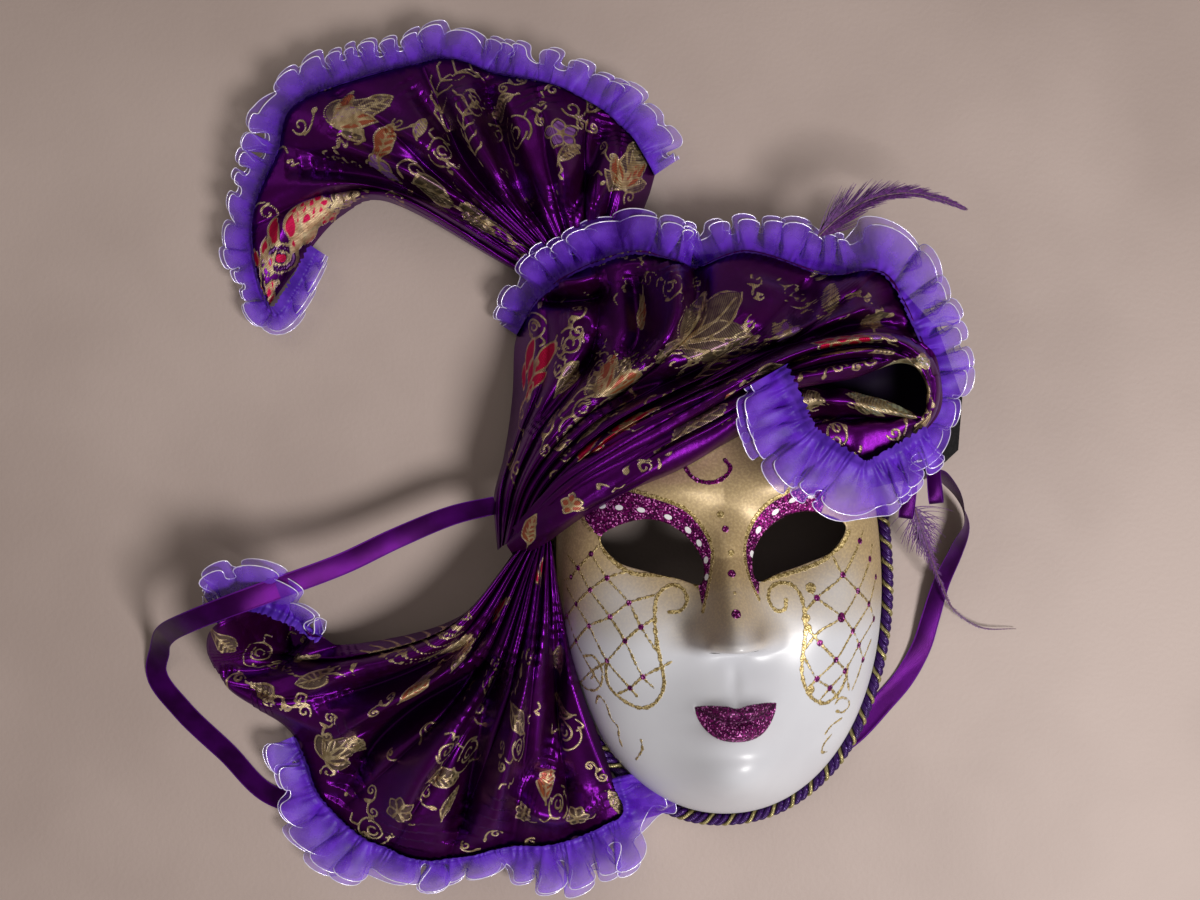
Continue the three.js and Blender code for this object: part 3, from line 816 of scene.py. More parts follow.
def lay_band(side, line):
    """The purple between the upper edge of an eye hole and an outer line."""
    eye = eye_line(side)
    hole = np.concatenate([eye, face_height(eye[:, 0], eye[:, 1])[:, None]], 1)
    reach = np.linalg.norm(hole[:, None, :2] - line[None, [0, -1], :2], axis=2)
    start, end = reach.argmin(0)
    count = len(hole)
    forward = [(start + k) % count for k in range((end - start) % count + 1)]
    backward = [(start - k) % count for k in range((start - end) % count + 1)]
    inner = max([hole[forward], hole[backward]], key=lambda path: path[:, 1].mean())
    ring = np.concatenate([line, inner[::-1]])
    inside = inside_line(surface[:, 0], surface[:, 1], ring[:, :2])
    _, distance = nearest_on(surface, np.concatenate([ring, ring[:1]]))
    band = np.where(inside, -distance, distance)
    near = np.nonzero(np.abs(band) < NEAR_BAND)[0]
    band[near] = np.maximum(band[near], GOLD_EDGE - nearest_on(surface[near], line)[1])
    np.minimum(purple, band, out=purple)


def lay_oval(centre, line, length):
    """A white oval that points along the band's line."""
    nearest = np.linalg.norm(line - centre, axis=1).argmin()
    ahead, behind = line[min(nearest + 1, len(line) - 1)], line[max(nearest - 1, 0)]
    offset = surface - centre
    lengthwise = offset @ unit(ahead - behind)
    sideways = np.sqrt(np.maximum((offset**2).sum(1) - lengthwise**2, 0))
    oval = np.hypot(lengthwise / (length / 2), sideways / (OVAL_WIDTH / 2)) - 1
    np.minimum(white, oval * OVAL_WIDTH / 2, out=white)


for side, (outer, lid, ovals) in EYES.items():
    line = painted(outer)
    lay_band(side, line)
    lay_line(gold, line, GOLD_EDGE, shake=0.35, seed=side)
    lay_line(gold, painted(lid), GOLD_EDGE, shake=0.3)
    for centre, length in zip(on_face(ovals), np.linspace(*OVAL_LENGTH, len(ovals))):
        lay_oval(centre, line, length)
print("the bands cover", round(float((purple < 0).mean() * 100), 1), "% of the face")

# %% [markdown]
# The gold is sprayed over the brow and the upper cheeks and down the nose, and thins out on the nose
# tip and beside the eyes. The parting line and the upper lip get painted shade: they are coloured
# darker than the rest of the mouth.

# %% The airbrush and the painted shade on the lips
BROW_EDGE = (-32, 2)  # the spray fades out between these heights, lower at the sides
airbrush = smooth(face_v, BROW_EDGE[0], BROW_EDGE[1] + 6 * np.cos(face_u / 30))
airbrush = np.maximum(airbrush, 0.85 * smooth(face_v, -34, -20) * bell(face_u / 26))
airbrush = airbrush * (1 - 0.75 * bell((face_u - 1) / 9) * bell((face_v + 26) / 9))
airbrush = airbrush * (1 - 0.6 * bell((np.abs(face_u) - 50) / 16) * bell((face_v + 6) / 12))
lip_depth = inside_lips(face_u, face_v)
np.minimum(purple, -lip_depth, out=purple)
_, parting, _ = lip_edges(face_u)
# Painted shade: the lips are coloured darker along the parting crease and over the upper lip
lip_painted_shade = 0.8 * bell((face_v - parting) / 1.0) + 0.4 * smooth(face_v - parting, 0, 1.5)
lip_painted_shade = lip_painted_shade * smooth(lip_depth, 0, 0.8)
print("the spray covers", round(float((airbrush > 0.5).mean() * 100)), "% of the face")

# %% [markdown]
# The shell's paint is a satin lacquer: smooth, a little uneven, warm white with a cool cast. The
# airbrushed gold is a thin metallic coat. Glitter is flakes of foil in clear glue: cells of a
# Voronoi pattern stand for the flakes, each with its own brightness; a few purple ones get a
# painted glint of bright pink.

# %% Face paint
FLAKE_SCALE = 1700.0  # flakes about 0.6 mm apart


def face_paint():
    f = Finish("face_paint")
    gold_edge, purple_edge, oval_edge = f.field("gold"), f.field("purple"), f.field("white")
    fuzz = (f.noise(1400.0, 2.0) - 0.5) * 0.9
    spray = f.noise(900.0, 4.0)
    flakes = f.node("ShaderNodeTexVoronoi", None, {"Vector": f.place(), "Scale": FLAKE_SCALE}, "Color")
    flake = f.node("ShaderNodeSeparateColor", None, {"Color": flakes}, "Red")
    tilt = f.node("ShaderNodeSeparateColor", None, {"Color": flakes}, "Green")
    cloud = f.noise(25.0, 3.0)

    is_gold = (gold_edge + fuzz).step(0.22, -0.18)
    is_purple = (purple_edge + fuzz * 0.7).step(0.2, -0.15)
    is_oval = oval_edge.step(0.12, -0.12)
    airbrush = f.field("airbrush") * (0.82 + spray * 0.36)

    ivory = f.mix(cloud.step(0.3, 0.75), colour(0.53, 0.53, 0.570), colour(0.58, 0.585, 0.625))
    beige = f.mix(spray.step(0.35, 0.7), colour(0.38, 0.265, 0.125), colour(0.52, 0.39, 0.205))
    base = f.mix(airbrush, ivory, beige)
    gold_flakes = f.mix(flake.step(0.2, 0.95), colour(0.22, 0.15, 0.045), colour(0.78, 0.62, 0.30))
    bright = f.mix(flake.step(0.35, 0.9), colour(0.045, 0.001, 0.034), colour(0.25, 0.004, 0.165))
    # Painted glint: a few purple flakes are coloured bright pink
    purple_flakes_and_glints = f.mix(tilt.step(0.84, 0.95), bright, colour(0.95, 0.30, 0.80))
    base = f.mix(is_gold, base, gold_flakes)
    base = f.mix(is_purple, base, purple_flakes_and_glints)
    base = f.mix(is_oval, base, colour(0.86, 0.84, 0.86))
    # Painted shade on the lips: near-black along the parting and over the upper lip
    base = f.mix(f.field("lip_painted_shade"), base, colour(0.020, 0.001, 0.014))

    glitter = is_gold.math("MAXIMUM", is_purple) * (1 - is_oval)
    height = glitter * (0.6 + flake * 0.8) + is_oval * 1.3 + spray * 0.03
    return f.surface(
        Base__Color=base,
        Roughness=0.38 + airbrush * 0.06 + glitter * (0.02 + tilt * 0.25),
        Metallic=airbrush * 0.22 + glitter * 0.6,
        Coat__Weight=(1 - glitter) * (1 - airbrush * 0.7) * 0.12,
        Coat__Roughness=0.25,
        Normal=f.bump(height, 0.00035, 0.75),
    )


def shell_inside():
    f = Finish("shell_inside")
    fibre = f.noise(220.0, 5.0)
    base = f.mix(fibre.step(0.35, 0.7), colour(0.016, 0.009, 0.006), colour(0.035, 0.021, 0.014))
    return f.surface(Base__Color=base, Roughness=0.85, Normal=f.bump(fibre, 0.0006, 0.6))


FACE_PAINT = face_paint()
SHELL_INSIDE = shell_inside()
print("made", FACE_PAINT.name, "and", SHELL_INSIDE.name)

# %% [markdown]
# The outside, the inside and the edges between them become one closed shell. Each torn edge of the
# outside gets a strip that turns down by one wall thickness, so the eye holes and the rim show how
# thick the shell is.

# %% The face as a shell
INNER_COLUMNS = 84
INNER_ROWS = 118
INNER_LOWEST = 0.15
LIP_OF_RIM = 0.1  # the lowest that the rim's edge comes


def border_edges(faces):
    """Edges used by one face only, in the direction of that face."""
    sides = np.concatenate([faces[:, [k, (k + 1) % 4]] for k in range(4)])
    key = np.sort(sides, axis=1)
    _, first, count = np.unique(key, axis=0, return_index=True, return_counts=True)
    return sides[first[count == 1]]


def face_shell():
    inner_u, inner_v, inner_quads = cut_grid(*face_grid(INNER_COLUMNS, INNER_ROWS))
    inner_z = np.maximum(face_height(inner_u, inner_v) - SHELL_WALL, INNER_LOWEST)
    shrink = 1 - SHELL_WALL / HALF_WIDTH * smooth(rim_share(inner_u, inner_v), 0.9, 1.0)
    bottom = from_face(inner_u * shrink, inner_v * shrink, inner_z)

    edges = border_edges(face_quads)
    ends = np.unique(edges)
    middle = np.array(FACE_AT)
    lower = face_top[ends].copy()
    at_rim = on_rim[ends]
    lower[~at_rim, 2] -= SHELL_WALL
    lower[at_rim, :2] += (middle - lower[at_rim, :2]) * (SHELL_WALL / HALF_WIDTH)
    lower[at_rim, 2] = np.maximum(lower[at_rim, 2], LIP_OF_RIM)
    number = dict(zip(ends.tolist(), range(len(ends))))
    start = len(face_top)
    strip = [(b, a, start + number[a], start + number[b]) for a, b in edges.tolist()]

    points = np.concatenate([face_top, lower, bottom])
    turned = inner_quads[:, ::-1] + start + len(ends)
    faces = np.concatenate([face_quads, np.array(strip), turned])
    material = np.concatenate([np.zeros(len(face_quads)), np.ones(len(strip) + len(turned))])

    def padded(field, rest):
        return np.concatenate([field, np.full(len(points) - len(field), rest)])

    fields = {"gold": gold, "purple": purple, "white": white}
    fields = {name: padded(field, FAR) for name, field in fields.items()}
    fields["airbrush"] = padded(airbrush, 0.0)
    fields["lip_painted_shade"] = padded(lip_painted_shade, 0.0)
    piece = add_piece("moulded_face", points, faces, [FACE_PAINT, SHELL_INSIDE], fields, material)
    finish_piece(piece, "face_paint", "face_shell")


face_shell()

# %% [markdown]
# The dress is one brocade: a deep purple satin with motifs woven in gold, copper, red and lilac.
# The motifs could be one repeating tile, but the real cloth shows a different part of its pattern
# on every fold. So a few small drawing functions make curls, leaves and flowers at a size of one,
# and each motif is laid on the cloth in the cloth's own directions, so that folds break it up.

# %% Lines and leaves for the motifs
GOLD, DULL, COPPER, RED, LILAC, GREEN = "gold", "dull", "copper", "red", "lilac", "green"
THREADS = (GOLD, DULL, COPPER, RED, LILAC, GREEN)


def spiral(x, y, radius, start, turn, inner=0.2):
    """A curl that winds outwards from its middle; angles are in degrees."""
    w = np.linspace(0, 1, 18)
    angle = np.radians(start + turn * w)
    r = radius * (inner + (1 - inner) * w)
    return np.stack([x + r * np.cos(angle), y + r * np.sin(angle)], 1)


def almond(x, y, length, width, angle, bend=0.0):
    """The closed outline of a leaf or petal that grows from a point."""
    w = np.concatenate([np.linspace(0, 1, 10), np.linspace(1, 0, 10)[1:]])
    side = np.repeat([1.0, -1.0], [10, 9])
    swell = np.sin(math.pi * w) ** 0.8
    across = side * width / 2 * swell + bend * np.sin(math.pi * w)
    along = length * w
    c, s = math.cos(math.radians(angle)), math.sin(math.radians(angle))
    return np.stack([x + along * c - across * s, y + along * s + across * c], 1)


def bow(*points):
    """A smooth line through a few points."""
    return even_curve(np.array(points, float), 14)


def lines(*shapes):
    return [(GOLD, "line", shape) for shape in shapes]


def fills(thread, *shapes):
    return [(thread, "fill", shape) for shape in shapes]


trial = almond(0, 0, 1, 0.5, 0)
print("a leaf of length 1 is", round(float(np.ptp(trial[:, 1])), 2), "wide, with", len(trial), "points")

# %% [markdown]
# Each motif is a short list of strokes and filled leaves. Some kinds come in more than one thread.
# One motif of the real cloth looks like a written sign; a plain fret takes its place.

# %% The kinds of motif
def curl():
    stalk = bow((0.25, 0.7), (-0.2, 0.62), (-0.55, 0.2), (-0.75, -0.6))
    return [*lines(spiral(0.25, 0.2, 0.5, 40, -400), stalk), *fills(GOLD, almond(-0.6, -0.1, 0.6, 0.3, 250))]


def scroll():
    ends = spiral(0.55, 0.3, 0.36, 0, -420), spiral(-0.55, -0.3, 0.36, 180, -420)
    stalk = bow((0.73, -0.01), (0.25, -0.12), (-0.25, 0.12), (-0.73, 0.01))
    return [*lines(*ends, stalk), *fills(GOLD, almond(0.1, 0.0, 0.6, 0.24, 110, 0.1))]


def leaf(thread=DULL):
    veins = [
        bow((x, 0.0), (x + 0.16, side * 0.14), (x + 0.26, side * 0.27))
        for x in (-0.5, -0.2, 0.1, 0.4)
        for side in (-1, 1)
    ]
    edge, stalk = almond(-1, 0, 2, 0.9, 0, 0.12), bow((-1.2, -0.1), (-0.4, 0.08), (0.8, 0.06))
    return [*fills(thread, almond(-1, 0, 2, 0.86, 0, 0.12)), *lines(edge, stalk, *veins)]


def plume(thread=DULL):
    """Leaves that spread from one stalk; every second one is woven in the given thread."""
    form = zip((-62, -30, 0, 30, 62), (0.95, 1.25, 1.45, 1.2, 0.9))
    leaves = [almond(-0.6, 0, length, 0.5, angle, 0.08) for angle, length in form]
    ribs = [np.stack([shape[0], shape[9] * 0.8]) for shape in leaves]
    return [
        *fills(DULL, *[shape * 0.94 for shape in leaves[::2]]),
        *fills(thread, *[shape * 0.94 for shape in leaves[1::2]]),
        *lines(*leaves, *ribs, spiral(-0.75, -0.35, 0.24, 90, 420)),
    ]


def flower(thread=LILAC, petals=5):
    turns = [math.radians(a) for a in np.arange(petals) * (360 / petals) + 18]
    shapes = [almond(0.12 * math.cos(a), 0.12 * math.sin(a), 0.8, 0.62, math.degrees(a)) for a in turns]
    return [
        *fills(thread, *[shape * 0.86 for shape in shapes]),
        *fills(GOLD, spiral(0, 0, 0.17, 0, 340, 1.0)),
        *lines(*shapes, bow((0.2, -0.8), (0.5, -1.1), (0.9, -1.1))),
    ]


def rose():
    """A flower in outline, as nested arcs."""
    arcs = [(0, 0.28, 20, 300, 0.9), (0.03, 0.55, 200, 250, 0.95), (0, 0.8, 60, 130, 0.95)]
    arcs = [*arcs, (-0.05, 0.95, 205, 120, 0.95)]
    stalks = bow((0.5, -0.6), (0.95, -0.75), (1.1, -0.35)), bow((-0.7, 0.5), (-1.05, 0.75), (-0.85, 1.1))
    return lines(*[spiral(at, at, *form) for at, *form in arcs], *stalks)


def petals():
    forms = [(-0.9, 0, 1.1, 0.42, 24, 0.05), (-0.5, -0.35, 1.25, 0.46, 10, 0.05), (-1, -0.5, 0.9, 0.34, -6)]
    shapes = [almond(*form) for form in forms]
    return [*fills(RED, *shapes), *lines(*shapes, spiral(0.65, -0.35, 0.2, 0, 380))]


def feather():
    spine = bow((-1.3, -0.5), (-0.5, 0.0), (0.4, 0.15), (1.3, -0.3))
    barbs = [
        np.stack([p, p + (0.3, side * 0.34), p + (0.46, side * 0.36)])
        for p in spine[2:13:2]
        for side in (-1, 1)
    ]
    return lines(spine, *barbs)


def medallion():
    ring = spiral(0, 0, 1.0, 0, 360, 1.0)
    rings = [ring * share for share in (0.98, 0.9, 0.5, 0.4)]
    return [*fills(RED, ring * 0.3), *lines(*rings), (LILAC, "line", ring * 0.7)]


def bits():
    strokes = bow((-0.9, 0.2), (-0.5, 0.45), (-0.2, 0.2)), bow((0.2, -0.1), (0.5, -0.4), (0.9, -0.2))
    return [*lines(*strokes), *fills(GOLD, almond(-0.1, -0.5, 0.45, 0.25, 60))]


def fret():
    """A rectangular fret of short strokes."""
    rows = [almond(-1.0, y, 2.0, 0.09, 0) for y in (-0.32, 0.32)]
    bars = [almond(x, -0.34, 0.68, 0.1, 90) for x in np.linspace(-0.95, 0.95, 6)]
    dots = [almond(x - 0.12, 0.0, 0.24, 0.1, 0) for x in np.linspace(-0.76, 0.76, 5)]
    return fills(GOLD, *rows, *bars, *dots)


MOTIFS = {
    "curl": curl(), "scroll": scroll(), "leaf": leaf(), "copper_leaf": leaf(COPPER),
    "gold_leaf": leaf(GOLD), "lilac_leaf": leaf(LILAC), "green_leaf": leaf(GREEN), "plume": plume(),
    "copper_plume": plume(COPPER), "lilac_plume": plume(LILAC), "green_plume": plume(GREEN),
    "flower": flower(), "copper_flower": flower(COPPER), "red_flower": flower(RED),
    "star": flower(DULL, 6), "rose": rose(), "petals": petals(), "feather": feather(),
    "medallion": medallion(), "bits": bits(), "fret": fret(),
}
print("drew", len(MOTIFS), "kinds of motif")

# %% [markdown]
# Each cloth is a grid that follows its folds. The length walked along a row and along a column of
# the grid gives the cloth's own coordinates, so a motif laid in them bends into the folds instead of
# running straight over them.

# %% Laying motifs on a cloth
GOLD_LINE = 0.5  # half the width of a woven line
MOTIF_REACH = 1.7  # of a motif from its middle, as a share of its size


class Cloth:
    """A grid of points, with the distance from each kind of thread for every point."""

    def __init__(self, points):
        self.points = points
        across = np.linalg.norm(np.diff(points, axis=1), axis=2)
        along = np.linalg.norm(np.diff(points, axis=0), axis=2)
        self.across = np.pad(np.cumsum(across, 1), ((0, 0), (1, 0)))
        self.along = np.pad(np.cumsum(along, 0), ((1, 0), (0, 0)))
        self.pixels = pixels_of(points)
        self.fields = {thread: np.full(points.shape[:2], FAR) for thread in THREADS}

    def lay(self, kind, pixel, size, angle):
        """One motif round the place where it shows in the photograph; the angle is in degrees."""
        far = ((self.pixels - pixel) ** 2).sum(-1)
        j, i = np.unravel_index(far.argmin(), far.shape)
        rows, columns = far.shape
        across = unit((self.points[j, min(i + 3, columns - 1)] - self.points[j, max(i - 3, 0)])[:2])
        along = unit((self.points[min(j + 3, rows - 1), i] - self.points[max(j - 3, 0), i])[:2])
        s = self.across - self.across[:, i : i + 1]
        t = self.along - self.along[j : j + 1, :]
        near = (np.abs(s) < size * MOTIF_REACH) & (np.abs(t) < size * MOTIF_REACH)
        local = s[near][:, None] * across + t[near][:, None] * along
        c, n = math.cos(math.radians(angle)), math.sin(math.radians(angle))
        local = np.stack([local[:, 0] * c + local[:, 1] * n, local[:, 1] * c - local[:, 0] * n], 1)
        for thread, form, shape in MOTIFS[kind]:
            shape = shape * size
            if form == "line":
                distance = nearest_on(local, shape)[1] - GOLD_LINE
            else:
                distance = nearest_on(local, np.concatenate([shape, shape[:1]]))[1]
                inside = inside_line(local[:, 0], local[:, 1], shape)
                distance = np.where(inside, -distance, distance)
            self.fields[thread][near] = np.minimum(self.fields[thread][near], distance)

    def lay_all(self, motifs):
        """Motifs by kind, each with its place in the photograph, its size and its angle."""
        for kind, places in motifs.items():
            for x, y, size, angle in places:
                self.lay(kind, (x, y), size, angle)


trial = Cloth(seen_at(np.stack(np.meshgrid(np.arange(500, 700, 2), np.arange(300, 500, 2)), -1), 0.0))
trial.lay("leaf", (600, 400), 30, 0)
print("a leaf fills", round(float((trial.fields[DULL] < 0).mean() * 100), 1), "% of a test square")

# %% [markdown]
# Satin floats long threads over the surface, so it is nearly black plum in the shade and throws
# sharp violet lights. A plastic-like surface with a high index of refraction does this, once its
# reflections are tinted violet. Gold thread lies in slanting twill lines, so a wave pattern lets the
# ground show between the threads. Filled leaves use a duller, greyer gold than the outlines.

# %% Brocade
def brocade():
    f = Finish("brocade")
    cloud = f.noise(38.0, 3.0)
    mottled = f.noise(260.0, 3.0)
    weave = f.waves(560.0, 1.2, 1.0)
    rib = f.waves(620.0, 2.0, bands="X")
    rough_edge = (mottled - 0.5) * 0.5
    covered = {thread: (f.field(thread) + rough_edge).step(0.18, -0.18) for thread in THREADS}

    ground = f.mix(cloud.step(0.3, 0.7), colour(0.009, 0.0001, 0.005), colour(0.019, 0.0002, 0.012))
    # Painted sheen: random violet patches lighten the satin ground
    ground = f.mix((mottled - 0.5).step(0.0, 0.35) * 0.4, ground, colour(0.048, 0.0005, 0.080))
    thread_gap = weave.step(0.12, 0.42)
    gold = f.mix(mottled.step(0.3, 0.7), colour(0.36, 0.27, 0.10), colour(0.74, 0.61, 0.32))
    dull = f.mix(mottled.step(0.3, 0.7), colour(0.105, 0.084, 0.036), colour(0.23, 0.185, 0.088))
    # How much of the ground each thread hides between its twill lines
    hides = {DULL: 0.25, GREEN: 0.55, COPPER: 0.5, RED: 0.7, LILAC: 0.5, GOLD: 0.5}
    on = {thread: covered[thread] * (share + thread_gap * (1 - share)) for thread, share in hides.items()}
    base = f.mix(on[DULL], ground, dull)
    base = f.mix(on[GREEN], base, colour(0.36, 0.39, 0.23))
    base = f.mix(on[COPPER], base, colour(0.44, 0.13, 0.018))
    base = f.mix(on[RED], base, colour(0.56, 0.012, 0.016))
    base = f.mix(on[LILAC], base, colour(0.34, 0.15, 0.48))
    base = f.mix(on[GOLD], base, gold)
    coloured = covered[RED].math("MAXIMUM", covered[LILAC]).math("MAXIMUM", covered[COPPER])
    metal = on[GOLD].math("MAXIMUM", covered[DULL] * 0.6).math("MAXIMUM", coloured * 0.7)
    raised = covered[GOLD].math("MAXIMUM", coloured)
    height = raised * (0.7 + weave * 0.5) + rib * 0.16 + mottled * 0.12
    return f.surface(
        Base__Color=base,
        Metallic=0.2 + metal * 0.6,
        Roughness=0.28 + raised * 0.12 + mottled * 0.08,
        IOR=2.4,
        Specular__Tint=colour(0.52, 0.03, 0.90),
        Normal=f.bump(height, 0.0003, 0.8),
    )


# Painted shade for the pocket's hollow: a near-black sheet that hardly reflects
def lining():
    f = Finish("lining")
    cloud = f.noise(90.0, 2.0)
    base = f.mix(cloud, colour(0.002, 0.0002, 0.004), colour(0.006, 0.0004, 0.014))
    return f.surface(Base__Color=base, Roughness=0.7, Specular__IOR__Level=0.1)


BROCADE = brocade()
POCKET_SHADE = lining()
print("made", BROCADE.name, "and", POCKET_SHADE.name)

# %% [markdown]
# The turban, the horn and the fan are each a cloth gathered to a point and spread into pleats. The
# pleats are ridges with sharp valleys between them. Close to the gather they split into finer
# folds, and every ridge leans a little over its neighbour, which gives the black lines between
# them. Soft waves across the pleats keep the cloth from looking pressed. The main folds are then
# drawn over the pleats, where the photograph shows them.

# %% Pleats and drawn folds
LEAN = 3.2  # how far a ridge leans over the next valley
FINE_FOLD = 2.4  # height of the finer folds near the gather
# How far single folds may differ: in skew, in strength, in how many they split into and in lean
SKEWS, STRENGTHS, SPLITS, LEANS = (-0.35, 0.35), (0.75, 1.2), (2, 4), (0.2, 1.0)
WAVE = 0.55
HEM_DROP = 1.8
CLOTH_LOWEST = 1.0


def shape_folds(points, folds):
    """Raises ridges and presses valleys along lines drawn in the photograph."""
    pixels = pixels_of(points)
    rise = np.zeros(points.shape[:2])
    for height, width, *drawn in folds:
        line = even_curve(np.array(drawn, float), 20)
        low, high = line.min(0) - 3 * width, line.max(0) + 3 * width
        near = ((pixels > low) & (pixels < high)).all(-1)
        at, far = nearest_on(pixels[near], line)
        share = ((at[:, None] - line[None]) ** 2).sum(-1).argmin(1) / (len(line) - 1)
        ends = smooth(share, -0.02, 0.25) * (1 - smooth(share, 0.75, 1.02))
        rise[near] += height * bell(far / width) * ends
    points[..., 2] += rise


def waves_across(rng, u, V):
    """Soft seeded waves that run slantwise over a cloth."""
    waves = 0.0
    for n, (a, b) in enumerate(rng.uniform(0, 2 * math.pi, (5, 2))):
        waves = waves + np.sin((2.1 + 1.7 * n) * V * 3 + a + (3 + 2.3 * n) * u * 3 + b) / (1 + 0.6 * n)
    return WAVE * waves * smooth(V, 0.15, 0.5)


def tuck_under(points, v, u, V, foot):
    """Past its hem, a cloth falls to its foot behind the mask."""
    fall = np.clip((V - 1) / (v[-1] - 1), 0, 1)
    hem = points[np.searchsorted(v, 1.0) - 1, :, 2]
    foot = foot + (hem - 6 - foot) * smooth(u, 0.84, 0.9)
    points[..., 2] = points[..., 2] * (1 - fall) + foot * fall


def pleated(cloth, rows, columns, seed):
    """The grid of a gathered cloth: rows go from the gather to the hem, columns across the folds."""
    rng = np.random.default_rng(seed)
    u = np.linspace(0, 1, columns)
    v = np.linspace(0, cloth.get("v_end", 1.0), rows)
    V = v[:, None]
    first, last, swell = (np.array(p, float) for p in cloth["gather"])
    start = first * (1 - u[:, None]) + last * u[:, None] + swell * np.sin(math.pi * u[:, None])
    points = curve(np.stack([start, *[curve(row, u) for row in cloth["rows"]]]), np.minimum(v, 1))

    folds = np.array(cloth["folds"])
    count = len(folds)
    k = np.clip(np.searchsorted(folds, u), 1, count - 1)
    within = (u - folds[k - 1]) / (folds[k] - folds[k - 1])
    within = within ** np.exp(rng.uniform(*SKEWS, count))[k]
    ridge = np.sin(math.pi * within)
    strength = rng.uniform(*STRENGTHS, count)
    given = cloth.get("strengths", [])
    strength[1 : 1 + len(given)] = given
    spread = np.sin(math.pi * np.minimum(0.15 + 0.75 * V, 0.9))
    body = cloth["depth"] * (ridge**0.75 * 1.16 - 0.58) * strength[k] * spread
    fine = np.abs(np.sin(math.pi * within * rng.integers(*SPLITS, count)[k])) ** 0.7 - 0.5
    tight = np.clip(1 - np.minimum(V, 1) / cloth["split_until"], 0, 1) ** 0.8
    body = body + FINE_FOLD * fine * tight * smooth(V, 0.0, 0.12) + waves_across(rng, u, V)
    for at, depth, width, begin, end in cloth.get("creases", []):
        window = smooth(V, begin, begin + 0.15) * (1 - smooth(V, end - 0.15, end))
        body = body - depth * np.exp(-np.abs(u - at) / width) * window
    for at, above, rise, width, length in cloth.get("bulges", []):
        body = body + rise * bell((u - at) / width) * bell((np.minimum(V, 1) - above) / length)

    lean = LEAN * rng.uniform(*LEANS, count)[k] * cloth["lean"]
    sideways = unit(np.gradient(points, axis=1))
    points = points + sideways * (lean * (ridge**1.5 - 0.4) * spread)[..., None]
    hem = smooth(V, 0.965, 1.0) * (V <= 1.0)
    points[..., 2] += body - HEM_DROP * hem**2
    if v[-1] > 1:
        tuck_under(points, v, u, V, cloth["foot"])
    shape_folds(points, cloth["drawn"])
    points[..., 2] = np.maximum(points[..., 2], CLOTH_LOWEST)
    return points


trial = np.zeros((50, 50, 3)) + seen_at([600, 450], 10)
shape_folds(trial, [(4, 6, (580, 450), (620, 450))])
print("a drawn fold of 4 mm lifts a flat test cloth by", round(float(trial[..., 2].max()) - 10, 2), "mm")

# %% [markdown]
# The large motifs are laid where the photograph shows them, and small ones are scattered between
# them with a fixed seed. The grids of one cloth are then joined into one piece, and its area is
# printed as a share of the flat sheet that it was cut from.

# %% From grids to a brocade piece
SCATTERED = ("curl", "scroll", "bits", "leaf", "rose")
SCATTERED_SIZES = (7.5, 11.5)
APART = 18  # between a scattered motif and any other, in pixels of the photograph
TRIES = 12  # for each scattered motif
ROWS_USED, COLUMNS_USED = (0.25, 0.95), (0.04, 0.96)


def scatter(sheet, taken, count, seed):
    rng = np.random.default_rng(seed)
    rows, columns = sheet.points.shape[:2]
    added = 0
    for _ in range(count * TRIES):
        at = sheet.pixels[int(rows * rng.uniform(*ROWS_USED)), int(columns * rng.uniform(*COLUMNS_USED))]
        if added == count or min(np.hypot(at[0] - x, at[1] - y) for x, y in taken) < APART:
            continue
        kind = SCATTERED[rng.integers(len(SCATTERED))]
        sheet.lay(kind, at, rng.uniform(*SCATTERED_SIZES), rng.uniform(0, 360))
        taken.append(tuple(at))
        added += 1


def cloth_piece(name, node, flat, grids, motifs, scattered, darkened=(), mouth=None):
    """The first grid carries the scattered motifs and may have a mouth; darkened grids get the near-black
    painted shade.
    """
    points, faces, material, start, area = [], [], [], 0, 0.0
    taken = [place[:2] for drawn in motifs for places in drawn.values() for place in places]
    fields = {thread: [] for thread in THREADS}
    for number, grid in enumerate(grids):
        sheet = Cloth(grid)
        sheet.lay_all(motifs[number])
        if number == 0:
            scatter(sheet, taken, scattered, len(grid))
        quads = grid_faces(*grid.shape[:2])
        if mouth is not None and number == 0:
            middle = sheet.pixels.reshape(-1, 2)[quads].mean(1)
            quads = quads[~inside_line(middle[:, 0], middle[:, 1], mouth)]
        area += area_of(grid, quads)
        points.append(grid.reshape(-1, 3))
        faces.append(quads + start)
        material.append(np.full(len(quads), int(number in darkened)))
        start += len(points[-1])
        for thread in THREADS:
            fields[thread].append(sheet.fields[thread].ravel())
    fields = {thread: np.concatenate(values) for thread, values in fields.items()}
    finishes = [BROCADE, POCKET_SHADE] if darkened else [BROCADE]
    points, faces, material = map(np.concatenate, (points, faces, material))
    piece = add_piece(name, points, faces, finishes, fields, material)
    finish_piece(piece, "brocade", node)
    area /= 1e6
    share = area / (flat[0] * flat[1])
    print(name, "shows", round(area, 4), "square metres,", round(share, 2), "of its flat piece")


print("motifs are scattered at least", APART, "pixels apart")

# %% [markdown]
# The horn is a stiffened cloth that rises from behind the turban and curls down to a point at the
# left. Its rows are lines from its inner edge to its outer one, in the layout.

